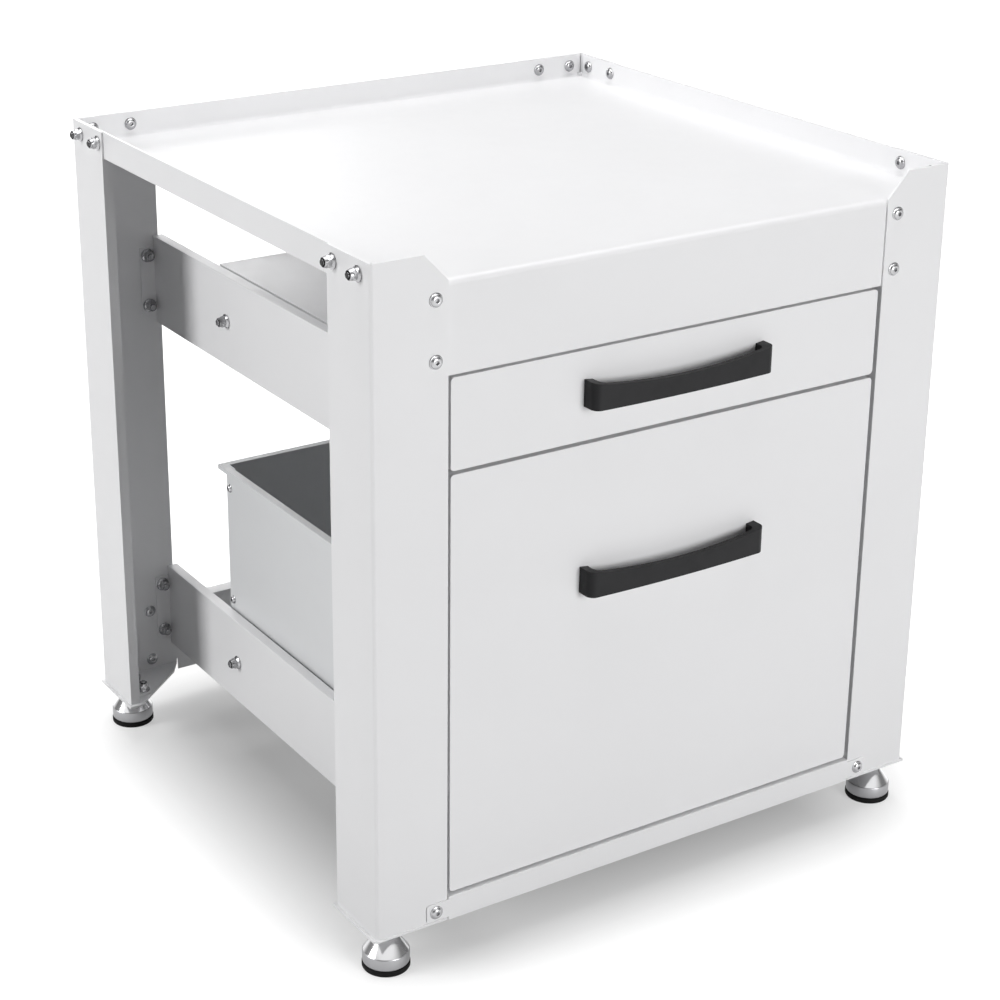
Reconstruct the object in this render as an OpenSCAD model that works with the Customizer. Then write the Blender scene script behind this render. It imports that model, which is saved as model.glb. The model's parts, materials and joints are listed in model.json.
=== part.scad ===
// Washing-machine stand in folded sheet steel, with a pull-out shelf and a deep drawer.
// It stands on four levelling feet, and its raised deck carries the machine.
// X runs to the right seen from the front, Y to the back, Z up from the floor.

/* [Stand] */
// Width over the posts
stand_w = 630; // [560:1:720]
// Depth from the front faces of the posts to the back faces
stand_d = 600; // [570:1:700]
// Height of the post tops above the floor
stand_h = 680; // [660:1:760]
// Height of the undersides of the base plates above the floor
foot_room = 42.5; // [40:0.5:60]
// Sheet of the posts and the deck
post_sheet = 2; // [1.5:0.1:2.5]
// Sheet of the rails
rail_sheet = 1.5; // [1:0.1:2]
// Sheet of the drawer, the shelf and their fronts
box_sheet = 1.5; // [1:0.1:2]

/* [Posts] */
// Width of a front post's front face
front_face_w = 74.5; // [66:0.5:84]
// Width of a post's side face
side_face_w = 72; // [68:0.5:84]
// Width of a back post's back face
back_face_w = 88; // [86:0.5:100]
// Outside radius of the folded corner
post_fold_r = 3; // [2.6:0.1:4]
// Lip folded in from the edge of the side face
edge_lip_w = 10.5; // [6:0.5:12]
// Depth of the return behind the inner edge of a front post
return_d = 24; // [20:0.5:30]
// Width of the seat folded back out from that return
return_seat_w = 24; // [20:0.5:30]
// Flat length of a front post's top before its slope
post_top_w = 51; // [40:0.5:60]
// Tab at the foot of the post that the base plate is bolted to
post_tab = [34, 20];
// Centre of that tab's bolt, from the outer corner of the post
plate_bolt_at = [25, 49];

/* [Deck] */
// Height of the rim above the deck
rim_h = 25; // [20:0.5:40]
// Height of the apron from the deck down
apron_h = 84; // [78:0.5:96]
// Inside radius of the folds of the deck
deck_fold_r = 4; // [3.8:0.1:6]
// Slit between the side and back rims at a corner
rim_slit = 0.8; // [0.4:0.1:2]
// First bolt of a pair, from the outer face of the corner
bolt_edge = 20; // [18:0.5:24]
// Pitch of a pair of rim bolts
bolt_pitch = 42; // [38:0.5:44]
// Apron bolts, from the outer side face of the post
apron_bolt_x = 62; // [58:0.5:64]
// Apron bolts, in from the deck and from the apron's lower edge
apron_bolt_in = 15; // [12:0.5:20]

/* [Base plates and feet] */
// Thickness of a base plate
plate_t = 2.5; // [2:0.1:4]
// Base plate proud of the side face
plate_proud_x = 3; // [1:0.5:5]
// Base plate proud of the front or back face
plate_proud_y = 1; // [0.5:0.5:3]
// Reach of a base plate past the side face's edge
plate_reach = 4; // [2:0.5:6]
// Depth of a base plate at its inner end
plate_inner_d = 2; // [1:0.5:6]
// Knee of a base plate's edge, back from its inner end and in from the face
plate_knee = [12.5, 21];
// Foot axis, from both outer faces of the corner
foot_inset = 22.5; // [22:0.5:28]
// Radius of the foot's metal cup
foot_r = 22; // [18:0.5:26]
// Height of the metal cup's straight side
foot_side_h = 12; // [8:0.5:14]
// Height of the cone above it
foot_cone_h = 14; // [10:0.5:15]
// Radius of the top of the cone
foot_neck_r = 11; // [10.5:0.5:13]
// Rubber pad proud of the metal cup
pad_proud = 0.5; // [0:0.1:2]
// Height of the rubber pad
pad_h = 6; // [4:0.5:8]
// Radius of the foot's threaded stud
stud_r = 6; // [5:0.5:7]
// Stud above the welded nut with the foot screwed home
stud_spare = 20; // [18:1:30]
// Width across the flats of the foot's nuts
foot_nut_af = 18; // [17:0.5:19]
// Height of the lock nut under the base plate
lock_nut_h = 6; // [5:0.5:8]
// Height of the nut welded on the base plate
weld_nut_h = 10; // [8:0.5:12]
// Radial clearance of the stud in its nuts
stud_clearance = 0.08; // [0.02:0.01:0.1]

/* [Rails] */
// Height of a side rail
rail_h = 95; // [90:1:110]
// Outer face of a side rail's web, from the outer side face of the post
rail_inset = 82; // [80:0.5:86]
// Width of a side rail's top and bottom flanges
rail_flange_w = 11; // [9:0.5:12]
// Upper side rails, down from the deck
upper_rail_drop = 110; // [108:1:112]
// Lower edge of the lower side rails
lower_rail_z = 70; // [66:1:80]
// Width of a side rail's front tab
front_tab_w = 27; // [26:0.5:29]
// Width of a side rail's back tab
back_tab_w = 16; // [15:0.5:17]
// End bolts of a side rail, above and below its middle
rail_bolt_half = 27.5; // [20:0.5:32]
// Bolt of the front tab, out from the web
front_tab_bolt = 18; // [17:0.5:19]
// Bolt of the back tab, out from the web
back_tab_bolt = 8; // [7.5:0.5:8.5]
// Lower edge of the front rail
front_rail_z = 42.5; // [40:0.5:44]
// Height of the front rail
front_rail_h = 24.5; // [22:0.5:27]
// Depth of the front rail's top flange
front_rail_flange = 16; // [10:1:18]
// Front rail's tab bolt, from the outer side face of the post
front_rail_bolt_x = 62; // [60:0.5:63]
// Height of the front rail's tab
front_tab_h = 18; // [15:0.5:18.5]
// Reach of the front rail's tab past its bolt
front_tab_reach = 10; // [9:0.5:12]
// Corner radius of the tabs
tab_corner_r = 3; // [1:0.5:5]
// Lower edge of the back rail
back_rail_z = 34; // [30:1:40]
// Top edge of the back rail
back_rail_top = 125; // [118:1:128]
// Depth of the back rail's top flange
back_rail_flange = 15; // [10:1:20]
// Back rail's tab bolts, from the outer side face of the post
back_rail_bolt_x = 58; // [54:0.5:58]
// Back rail's tab bolts, up from the floor
back_rail_bolt_z = [56, 115];

/* [Fronts] */
// Gap beside a front
side_gap = 3.5; // [2:0.1:5]
// Gap above the shelf front
top_gap = 2.5; // [2:0.1:5]
// Gap between the two fronts
front_gap = 3.5; // [2.5:0.1:5]
// Gap between the drawer front and the front rail
bottom_gap = 2.5; // [2:0.5:6]
// Fronts set back from the post faces
front_recess = 1.5; // [0:0.1:3]
// Depth of a front's folded edges
front_depth = 18; // [16:0.5:20]
// Corner radius of a front
front_corner_r = 4; // [2:0.5:8]
// Height of the shelf front
shelf_front_h = 84.5; // [82:0.5:88]
// Clearance of a liner inside its front
liner_clearance = 0.2; // [0.1:0.05:0.5]

/* [Drawer and shelf] */
// Depth of the drawer box and the shelf behind their fronts
box_d = 450; // [400:1:500]
// Underside of the drawer box, above the lower edge of its front
box_above_front = 14.5; // [10:0.5:16]
// Height of the drawer box
box_h = 242; // [180:1:300]
// Width of the rim rolled out from the drawer's walls
box_rim_w = 8; // [5:0.5:9]
// Drop of the rim's outer edge
box_rim_drop = 5; // [3:0.5:8]
// Flange folded forward from each side of the back panel
box_tab_w = 15; // [12:0.5:20]
// Back panel bolts, in from the back of the drawer's sides
back_bolt_in = 6; // [5.5:0.5:6.5]
// Back panel bolts, down from the drawer's top and up from its bottom
back_bolt_z = [24, 90];
// Bolts of a front, each side of the middle
front_bolt_x = 150; // [120:1:180]
// Bolts of the drawer front, up from the drawer's bottom and down from its top
front_bolt_in = 30; // [20:1:40]
// Top of the shelf plate, down from the top of the upper rails
shelf_drop = 0; // [0:0.5:4]
// Depth of the fold at the back of the shelf plate
shelf_back_h = 25; // [12:1:40]
// Bolts of the shelf front, down from the shelf plate
shelf_bolt_drop = 18; // [14:1:22]

/* [Runners] */
// Length of a runner
runner_l = 450; // [400:1:500]
// Thickness of a closed runner
runner_t = 12.7; // [12.5:0.1:13.5]
// Height of a drawer runner
drawer_runner_h = 45; // [45:1:50]
// Height of a shelf runner
shelf_runner_h = 27; // [26:0.5:27]
// Sheet of the runner members
runner_sheet = 1.2; // [1:0.05:1.3]
// Running gap between runner members
runner_gap = 0.5; // [0.4:0.05:0.6]
// Turned-in edge of a runner member
runner_lip = 5; // [4.5:0.1:5.5]
// Bolts of the fixed member, from the runner's front and back ends
runner_bolt_in = [36, 44];
// Screws of the moving member, from the runner's front and back ends
runner_screw_in = [60, 70];

/* [Handles] */
// Length of a handle
handle_l = 200; // [160:1:260]
// Reach of a handle's ends in front of the panel
handle_reach = 18; // [16:0.5:26]
// Outward bow of the grip
handle_bow = 2.5; // [1:0.5:8]
// Thickness of the grip
handle_t = 5.5; // [4.5:0.5:8]
// Thickness of a handle's legs
handle_leg_w = 9; // [8.5:0.5:12]
// Height of a handle at its ends
handle_h = 25.5; // [22:0.5:32]
// Dip of the grip's top edge
handle_dip = 7; // [1:0.5:9]
// Rounding of a handle's front corners
handle_corner_r = 8; // [5:0.5:9]
// Rounding inside the legs
handle_inner_r = 5; // [3:0.5:6]
// Lower edge of the shelf handle, above the lower edge of its front
shelf_handle_up = 32.5; // [28:0.5:46]
// Lower edge of the drawer handle, down from the top edge of its front
drawer_handle_down = 143; // [60:1:200]

/* [Fasteners] */
// Radius of an M6 shank
m6_r = 3; // [2.9:0.05:3]
// Radius of an M6 flanged button head
m6_head_r = 6.5; // [6:0.1:6.8]
// Height of an M6 head
m6_head_h = 3.4; // [3:0.1:3.6]
// Bolt end past its nut
bolt_end = 1.5; // [1:0.1:2]
// Width across the flats of an M6 lock nut
m6_nut_af = 10; // [9.8:0.1:10.2]
// Height of an M6 lock nut
m6_nut_h = 9; // [8:0.1:9]
// Radius of an M6 nut's flange
m6_nut_flange_r = 7.2; // [7:0.1:7.4]
// Radius of an M5 shank
m5_r = 2.5; // [2.4:0.05:2.5]
// Radius of an M5 head
m5_head_r = 4.5; // [4:0.1:4.8]
// Height of an M5 head
m5_head_h = 2.8; // [2.4:0.1:3]
// Width across the flats of an M5 nut
m5_nut_af = 8; // [7.8:0.1:8.2]
// Height of an M5 nut
m5_nut_h = 4; // [3.5:0.1:4.5]
// Radius of an M4 shank
m4_r = 2; // [1.9:0.05:2]
// Radius of an M4 head
m4_head_r = 3.6; // [3.4:0.1:3.8]
// Height of an M4 head
m4_head_h = 2.2; // [2:0.1:2.4]
// Length of a handle screw under its head
handle_screw_l = 14; // [10:0.5:16]
// Length of a runner screw under its head
runner_screw_l = 4.5; // [4:0.1:6]
// Radial clearance of a bolt in its hole
hole_clearance = 0.3; // [0.2:0.05:0.4]
// Radial clearance of a nut or a tapped hole on its thread
thread_clearance = 0.05; // [0.02:0.01:0.1]

/* [Hidden] */
$fn = 64;
// Overlap that lets a cut run clean through a face
cut = 0.5;
hole_r = m6_r + hole_clearance;
m5_hole_r = m5_r + hole_clearance;
m4_hole_r = m4_r + hole_clearance;

// Levels
post_z = foot_room + plate_t;
deck_z = stand_h - rim_h;
apron_z = deck_z - apron_h;
upper_rail_z = deck_z - upper_rail_drop - rail_h;
shelf_front_top = apron_z - top_gap;
shelf_front_z = shelf_front_top - shelf_front_h;
drawer_front_top = shelf_front_z - front_gap;
front_rail_top = front_rail_z + front_rail_h;
drawer_front_z = front_rail_top + bottom_gap;
box_z = drawer_front_z + box_above_front;
box_top = box_z + box_h;
drawer_runner_z = lower_rail_z + rail_h / 2;
shelf_runner_z = upper_rail_z + rail_h / 2;
shelf_top = upper_rail_z + rail_h - shelf_drop;
shelf_side_z = shelf_runner_z - shelf_runner_h / 2;
shelf_handle_z = shelf_front_z + shelf_handle_up;
drawer_handle_z = drawer_front_top - drawer_handle_down;
rim_bolt_z = deck_z + rim_h / 2;
front_rail_bolt_z = post_z + (front_rail_top - post_z) / 2 - 1;
shelf_bolt_zs = [shelf_top - shelf_bolt_drop];

// Places across and along
half_w = stand_w / 2;
front_half_w = half_w - front_face_w - side_gap;
box_half_w = half_w - rail_inset - rail_sheet - runner_t;
front_y = front_recess;
liner_y = front_y + front_depth;
box_back_y = liner_y + box_d;
runner_y = return_d;
rim_bolt_ys = [bolt_edge, bolt_edge + bolt_pitch,
    stand_d - bolt_edge - bolt_pitch, stand_d - bolt_edge];
apron_bolt_zs = [deck_z - apron_bolt_in, apron_z + apron_bolt_in];
runner_bolt_ys = [runner_y + runner_bolt_in[0], runner_y + runner_l - runner_bolt_in[1]];
runner_screw_ys = [runner_y + runner_screw_in[0], runner_y + runner_l - runner_screw_in[1]];
back_bolt_zs = [box_top - back_bolt_z[0], box_z + back_bolt_z[1]];
front_bolt_zs = [box_z + front_bolt_in, box_top - front_bolt_in];
rail_bolt_zs = [rail_h / 2 - rail_bolt_half, rail_h / 2 + rail_bolt_half];
handle_leg_x = handle_l / 2 - handle_leg_w / 2;
stud_top = post_z + weld_nut_h + stud_spare;
neck_z = foot_room - lock_nut_h;
corner_relief = post_fold_r - post_sheet + 1;

// The origin lies on the floor, in the middle of the whole object's box
reach_front = handle_reach + handle_bow - front_recess;
reach_back = rail_sheet + m6_nut_h + bolt_end;
mid_y = (stand_d + reach_back - reach_front) / 2;
module place() {
    translate([0, -mid_y, 0]) children();
}

// Corner frames: each child is drawn in the front left corner's own coordinates
module at_left() {
    translate([-half_w, 0, 0]) children();
}
module at_right() {
    mirror([1, 0, 0]) at_left() children();
}
module at_back() {
    translate([0, stand_d, 0]) mirror([0, 1, 0]) children();
}
module on_both_sides() {
    at_left() children();
    at_right() children();
}

// Directions for a part drawn along +Z
module to_front() {
    rotate([90, 0, 0]) children();
}
module to_back() {
    rotate([-90, 0, 0]) children();
}
module to_left() {
    rotate([0, -90, 0]) children();
}
module to_right() {
    rotate([0, 90, 0]) children();
}

// A hole drilled along +Z, centred on the origin
module drill(r, l = 12) {
    cylinder(r = r, h = l, center = true);
}

// Fasteners: the head or nut stands on the plane z = 0 and points along +Z
module button_bolt(r, head_r, head_h, l) {
    difference() {
        union() {
            cylinder(r = head_r, h = head_h * 0.3);
            translate([0, 0, head_h * 0.3]) cylinder(r1 = head_r * 0.92, r2 = head_r * 0.55, h = head_h * 0.7);
            translate([0, 0, -l]) cylinder(r = r, h = l + cut);
        }
        translate([0, 0, head_h * 0.4]) cylinder(r = r * 0.7, h = head_h, $fn = 6);
    }
}
// A bolt long enough for its nut on the far side of the metal that it holds
module m6_bolt(stack) {
    button_bolt(m6_r, m6_head_r, m6_head_h, stack + m6_nut_h + bolt_end);
}
module m5_bolt(stack) {
    button_bolt(m5_r, m5_head_r, m5_head_h, stack + m5_nut_h + bolt_end);
}
module hex_prism(af, h) {
    cylinder(r = af / 2 / cos(30), h = h, $fn = 6);
}
module m6_nut() {
    difference() {
        union() {
            cylinder(r = m6_nut_flange_r, h = m6_nut_h * 0.16);
            hex_prism(m6_nut_af, m6_nut_h * 0.72);
            cylinder(r = m6_nut_af / 2, h = m6_nut_h);
        }
        drill(m6_r + thread_clearance, m6_nut_h * 3);
    }
}
module m5_nut() {
    difference() {
        hex_prism(m5_nut_af, m5_nut_h);
        drill(m5_r + thread_clearance, m5_nut_h * 3);
    }
}
module foot_nut(h) {
    difference() {
        hex_prism(foot_nut_af, h);
        drill(stud_r + stud_clearance, h * 3);
    }
}

// A plain block with its corner at the origin rounded off, for folded sections
module folded_corner(size, r) {
    translate([r, 0]) square([size[0] - r, size[1]]);
    translate([0, r]) square([size[0], size[1] - r]);
    translate([r, r]) circle(r);
}
// Two faces folded from one sheet: the first along X, the second along Y
module angle_section(face_x, face_y) {
    difference() {
        folded_corner([face_x, face_y], post_fold_r);
        translate([post_sheet, post_sheet])
            folded_corner([face_x, face_y], post_fold_r - post_sheet);
    }
}

// A plate centred on the origin with rounded corners, x and y from the middle to its edges
module rounded_plate(x, y, r) {
    square([2 * (x - r), 2 * y], center = true);
    square([2 * x, 2 * (y - r)], center = true);
    for (px = [-x + r, x - r], py = [-y + r, y - r]) translate([px, py]) circle(r);
}

// Posts
module post_side_holes() {
    for (y = [bolt_edge, bolt_edge + bolt_pitch])
        translate([post_sheet, y, rim_bolt_z]) to_right() drill(hole_r);
}
module post_plate_tab() {
    translate([0, plate_bolt_at[1] - post_tab[1] / 2, post_z])
        cube([post_tab[0], post_tab[1], post_sheet]);
}
module post_edge_lip() {
    translate([0, side_face_w - post_sheet, post_z])
        cube([edge_lip_w, post_sheet, deck_z - post_sheet - 1 - post_z]);
}
module front_post() {
    seat_h = apron_z - 1 - post_z;
    difference() {
        union() {
            translate([0, 0, post_z])
                linear_extrude(stand_h - post_z) angle_section(front_face_w, side_face_w);
            post_edge_lip();
            post_plate_tab();
            translate([front_face_w - post_sheet, 0, post_z]) cube([post_sheet, return_d, seat_h]);
            translate([front_face_w - return_seat_w, return_d - post_sheet, post_z])
                cube([return_seat_w, post_sheet, seat_h]);
        }
        // The slope at the top of the front face, down to the deck
        translate([0, post_sheet + cut, 0]) to_front() linear_extrude(post_sheet + 2 * cut)
            polygon([[post_top_w, stand_h], [front_face_w, deck_z], [front_face_w + 1, deck_z],
                [front_face_w + 1, stand_h + 1], [post_top_w, stand_h + 1]]);
        post_side_holes();
        translate([plate_bolt_at[0], plate_bolt_at[1], post_z]) drill(hole_r);
        for (z = apron_bolt_zs)
            translate([apron_bolt_x, post_sheet, z]) to_front() drill(hole_r);
        translate([front_rail_bolt_x, post_sheet, front_rail_bolt_z]) to_front() drill(hole_r);
        for (rail_z = [lower_rail_z, upper_rail_z], z = rail_bolt_zs)
            translate([rail_inset - front_tab_bolt, return_d, rail_z + z]) to_front() drill(hole_r);
    }
}
// Drawn as a front post is, and turned to the back by at_back()
module back_post() {
    difference() {
        union() {
            translate([0, 0, post_z])
                linear_extrude(stand_h - post_z) angle_section(back_face_w, side_face_w);
            post_edge_lip();
            post_plate_tab();
        }
        post_side_holes();
        translate([plate_bolt_at[0], plate_bolt_at[1], post_z]) drill(hole_r);
        for (x = [bolt_edge, bolt_edge + bolt_pitch])
            translate([x, post_sheet, rim_bolt_z]) to_front() drill(hole_r);
        for (z = back_rail_bolt_z)
            translate([back_rail_bolt_x, 0, z]) to_front() drill(hole_r);
        for (rail_z = [lower_rail_z, upper_rail_z], z = rail_bolt_zs)
            translate([rail_inset - back_tab_bolt, 0, rail_z + z]) to_front() drill(hole_r);
    }
}

// Base plates, with the sloping inner edge that leaves the floor free
module base_plate(face_w) {
    difference() {
        translate([0, 0, foot_room]) linear_extrude(plate_t)
            polygon([[-plate_proud_x, -plate_proud_y], [face_w, -plate_proud_y],
                [face_w, plate_inner_d], [face_w - plate_knee[0], plate_knee[1]],
                [edge_lip_w, side_face_w + plate_reach], [-plate_proud_x, side_face_w + plate_reach]]);
        translate([foot_inset, foot_inset, foot_room]) drill(stud_r + hole_clearance);
        translate([plate_bolt_at[0], plate_bolt_at[1], foot_room]) drill(hole_r);
    }
}

// Levelling feet
module foot() {
    translate([foot_inset, foot_inset, 0]) {
        translate([0, 0, pad_h]) cylinder(r = foot_r, h = foot_side_h);
        translate([0, 0, pad_h + foot_side_h]) cylinder(r1 = foot_r, r2 = foot_neck_r, h = foot_cone_h);
        translate([0, 0, pad_h]) cylinder(r = stud_r + 3, h = neck_z - pad_h);
        translate([0, 0, pad_h]) cylinder(r = stud_r, h = stud_top - pad_h);
    }
}
module pad() {
    translate([foot_inset, foot_inset, 0]) cylinder(r = foot_r + pad_proud, h = pad_h);
}
module corner_foot_nuts() {
    translate([foot_inset, foot_inset, neck_z]) foot_nut(lock_nut_h);
    translate([foot_inset, foot_inset, post_z]) foot_nut(weld_nut_h);
}

// Deck: one sheet with three sides turned up and the front turned down as the apron
module deck() {
    rim_in = post_sheet * 2;
    fold_out_r = deck_fold_r + post_sheet;
    pocket_x = half_w - rim_in;
    difference() {
        union() {
            translate([-half_w + post_sheet, post_sheet, deck_z - post_sheet])
                cube([stand_w - post_sheet * 2, stand_d - post_sheet * 2, rim_h + post_sheet]);
            translate([-pocket_x + 1, post_sheet, apron_z])
                cube([2 * pocket_x - 2, post_sheet, apron_h]);
            // The inside of the fold between deck and apron
            translate([-pocket_x + 1, rim_in, deck_z - fold_out_r])
                cube([2 * pocket_x - 2, deck_fold_r, deck_fold_r]);
        }
        // The rounded front edge
        difference() {
            translate([-half_w, 0, deck_z - fold_out_r])
                cube([stand_w, post_sheet + fold_out_r, fold_out_r + cut]);
            translate([-half_w - 1, post_sheet + fold_out_r, deck_z - fold_out_r])
                to_right() cylinder(r = fold_out_r, h = stand_w + 2);
        }
        translate([-half_w - 1, rim_in + deck_fold_r, deck_z - fold_out_r])
            to_right() cylinder(r = deck_fold_r, h = stand_w + 2);
        // The hollow above the deck, with rounded feet to the rims
        translate([-pocket_x, 0, deck_z + deck_fold_r])
            cube([2 * pocket_x, stand_d - rim_in, rim_h]);
        translate([-pocket_x + deck_fold_r, 0, deck_z])
            cube([2 * (pocket_x - deck_fold_r), stand_d - rim_in - deck_fold_r, rim_h]);
        for (side = [-1, 1])
            translate([side * (pocket_x - deck_fold_r), 0, deck_z + deck_fold_r])
                to_back() cylinder(r = deck_fold_r, h = stand_d - rim_in - deck_fold_r);
        translate([-pocket_x + deck_fold_r, stand_d - rim_in - deck_fold_r, deck_z + deck_fold_r])
            to_right() cylinder(r = deck_fold_r, h = 2 * (pocket_x - deck_fold_r));
        // Relief beside the folded corners of the posts
        for (side = [-1, 1], y = [post_sheet, stand_d - post_sheet])
            translate([side * (half_w - post_sheet), y, deck_z])
                cube([2 * corner_relief, 2 * corner_relief, 3 * rim_h], center = true);
        // Slits at the back corners
        for (side = [-1, 1])
            translate([side * (pocket_x - rim_slit / 2) - rim_slit / 2, stand_d - rim_in - cut,
                deck_z + deck_fold_r])
                cube([rim_slit, post_sheet + 2 * cut, rim_h]);
        for (y = rim_bolt_ys, side = [-1, 1])
            translate([side * (half_w - rim_in), y, rim_bolt_z]) to_right() drill(hole_r);
        on_both_sides() {
            for (x = [bolt_edge, bolt_edge + bolt_pitch])
                translate([x, stand_d - rim_in, rim_bolt_z]) to_back() drill(hole_r);
            for (z = apron_bolt_zs)
                translate([apron_bolt_x, rim_in, z]) to_front() drill(hole_r);
        }
    }
}

// Side rails: a channel on its side, with a tab turned out at each end
module side_rail(rail_z) {
    end_y = stand_d - post_sheet;
    tab_z = rail_h / 2 - rail_bolt_half - hole_r - 6;
    translate([0, 0, rail_z]) difference() {
        union() {
            translate([rail_inset, return_d, 0]) cube([rail_sheet, end_y - return_d, rail_h]);
            for (z = [0, rail_h - rail_sheet])
                translate([rail_inset, return_d, z])
                    cube([rail_flange_w, end_y - return_d, rail_sheet]);
            translate([rail_inset - front_tab_w, return_d, tab_z])
                cube([front_tab_w + rail_sheet, rail_sheet, rail_h - 2 * tab_z]);
            translate([rail_inset - back_tab_w, end_y - rail_sheet, tab_z])
                cube([back_tab_w + rail_sheet, rail_sheet, rail_h - 2 * tab_z]);
        }
        for (z = rail_bolt_zs) {
            translate([rail_inset - front_tab_bolt, return_d, z]) to_front() drill(hole_r);
            translate([rail_inset - back_tab_bolt, end_y, z]) to_front() drill(hole_r);
        }
        for (y = runner_bolt_ys)
            translate([rail_inset, y, rail_h / 2]) to_right() drill(hole_r, rail_sheet * 4);
    }
}

// Front rail: its tabs lie on the faces of the front posts
module rail_front() {
    web_x = half_w - front_face_w - 1;
    tab_x = half_w - front_rail_bolt_x + front_tab_reach;
    difference() {
        union() {
            translate([-web_x, -rail_sheet, front_rail_z]) cube([2 * web_x, rail_sheet, front_rail_h]);
            translate([-web_x, -rail_sheet, front_rail_top - rail_sheet])
                cube([2 * web_x, front_rail_flange + rail_sheet, rail_sheet]);
            translate([0, 0, front_rail_bolt_z]) to_front() linear_extrude(rail_sheet)
                rounded_plate(tab_x, front_tab_h / 2, tab_corner_r);
        }
        on_both_sides()
            translate([front_rail_bolt_x, 0, front_rail_bolt_z]) to_front() drill(hole_r);
    }
}

// Back rail: its tabs lie on the back faces of the back posts
module rail_back() {
    web_x = half_w - back_face_w - 2;
    tab_x = half_w - back_rail_bolt_x + 13;
    tab_z = post_z + 2;
    difference() {
        union() {
            translate([-web_x, stand_d, back_rail_z])
                cube([2 * web_x, rail_sheet, back_rail_top - back_rail_z]);
            translate([-web_x, stand_d - back_rail_flange, back_rail_top - rail_sheet])
                cube([2 * web_x, back_rail_flange + rail_sheet, rail_sheet]);
            translate([0, stand_d + rail_sheet, (tab_z + back_rail_top) / 2]) to_front()
                linear_extrude(rail_sheet) rounded_plate(tab_x, (back_rail_top - tab_z) / 2, tab_corner_r);
        }
        on_both_sides() {
            for (z = back_rail_bolt_z)
                translate([back_rail_bolt_x, stand_d, z]) to_front() drill(hole_r);
            for (z = rail_bolt_zs)
                translate([rail_inset - back_tab_bolt, stand_d, lower_rail_z + z]) to_front() drill(hole_r);
        }
    }
}

// Frame fasteners
module each_rim_bolt() {
    for (y = rim_bolt_ys) translate([post_sheet * 2, y, rim_bolt_z]) to_right() children();
    for (x = [bolt_edge, bolt_edge + bolt_pitch])
        translate([x, stand_d - post_sheet * 2, rim_bolt_z]) to_front() children();
}
module each_apron_bolt() {
    for (z = apron_bolt_zs) translate([apron_bolt_x, 0, z]) to_front() children();
}
module deck_bolts() {
    stack = post_sheet * 2;
    on_both_sides() {
        each_rim_bolt() m6_bolt(stack);
        each_apron_bolt() m6_bolt(stack);
    }
}
module deck_nuts() {
    stack = post_sheet * 2;
    on_both_sides() {
        each_rim_bolt() translate([0, 0, -stack]) rotate([180, 0, 0]) m6_nut();
        each_apron_bolt() translate([0, 0, -stack]) rotate([180, 0, 0]) m6_nut();
    }
}
// Each joint's child is drawn on the face that its bolt head sits on; stack is the metal under it
module rail_joints(part) {
    seat = post_sheet + rail_sheet;
    on_both_sides() {
        for (rail_z = [lower_rail_z, upper_rail_z], z = rail_bolt_zs) {
            translate([rail_inset - front_tab_bolt, return_d - post_sheet, rail_z + z])
                to_front() joint_part(part, seat);
            behind = rail_z + z < back_rail_top ? rail_sheet : 0;
            translate([rail_inset - back_tab_bolt, stand_d + behind, rail_z + z])
                to_back() joint_part(part, seat + behind);
        }
        translate([front_rail_bolt_x, -rail_sheet, front_rail_bolt_z]) to_front() joint_part(part, seat);
        for (z = back_rail_bolt_z)
            translate([back_rail_bolt_x, stand_d - post_sheet, z]) to_front() joint_part(part, seat);
        translate([plate_bolt_at[0], plate_bolt_at[1], foot_room])
            rotate([180, 0, 0]) joint_part(part, post_sheet + plate_t);
        translate([plate_bolt_at[0], stand_d - plate_bolt_at[1], foot_room])
            rotate([180, 0, 0]) joint_part(part, post_sheet + plate_t);
    }
}
module joint_part(part, stack) {
    if (part == "bolt") m6_bolt(stack);
    if (part == "nut") translate([0, 0, -stack]) rotate([180, 0, 0]) m6_nut();
}

// Runners: three nested members, drawn from the rail's web (x = 0) towards the drawer
function runner_steps(h) = [
    h / 2,                                            // outside of the fixed member
    h / 2 - runner_sheet - runner_gap,                // outside of the middle member
    h / 2 - 2 * (runner_sheet + runner_gap)];         // outside of the inner member
module channel(half_h, x0, x1, lip) {
    translate([x0, 0, -half_h]) cube([runner_sheet, runner_l, 2 * half_h]);
    for (side = [-1, 1]) {
        z_out = side * (half_h - runner_sheet / 2);
        translate([(x0 + x1) / 2, runner_l / 2, z_out])
            cube([x1 - x0, runner_l, runner_sheet], center = true);
        translate([x1 - runner_sheet / 2, runner_l / 2, side * (half_h - lip / 2)])
            cube([runner_sheet, runner_l, lip], center = true);
    }
}
module countersink() {
    translate([0, 0, runner_sheet / 2]) drill(m6_r, runner_sheet + 2 * cut);
    cylinder(r1 = m6_r, r2 = m6_r + runner_sheet, h = runner_sheet);
}
module runner_fixed(h) {
    difference() {
        channel(runner_steps(h)[0], 0, runner_t - 3, runner_lip);
        for (y = runner_bolt_in)
            translate([0, y == runner_bolt_in[0] ? y : runner_l - y, 0]) to_right() countersink();
    }
}
module runner_middle(h) {
    x0 = runner_sheet + runner_gap;
    channel(runner_steps(h)[1], x0, runner_t - 3 - x0, runner_lip);
}
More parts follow.
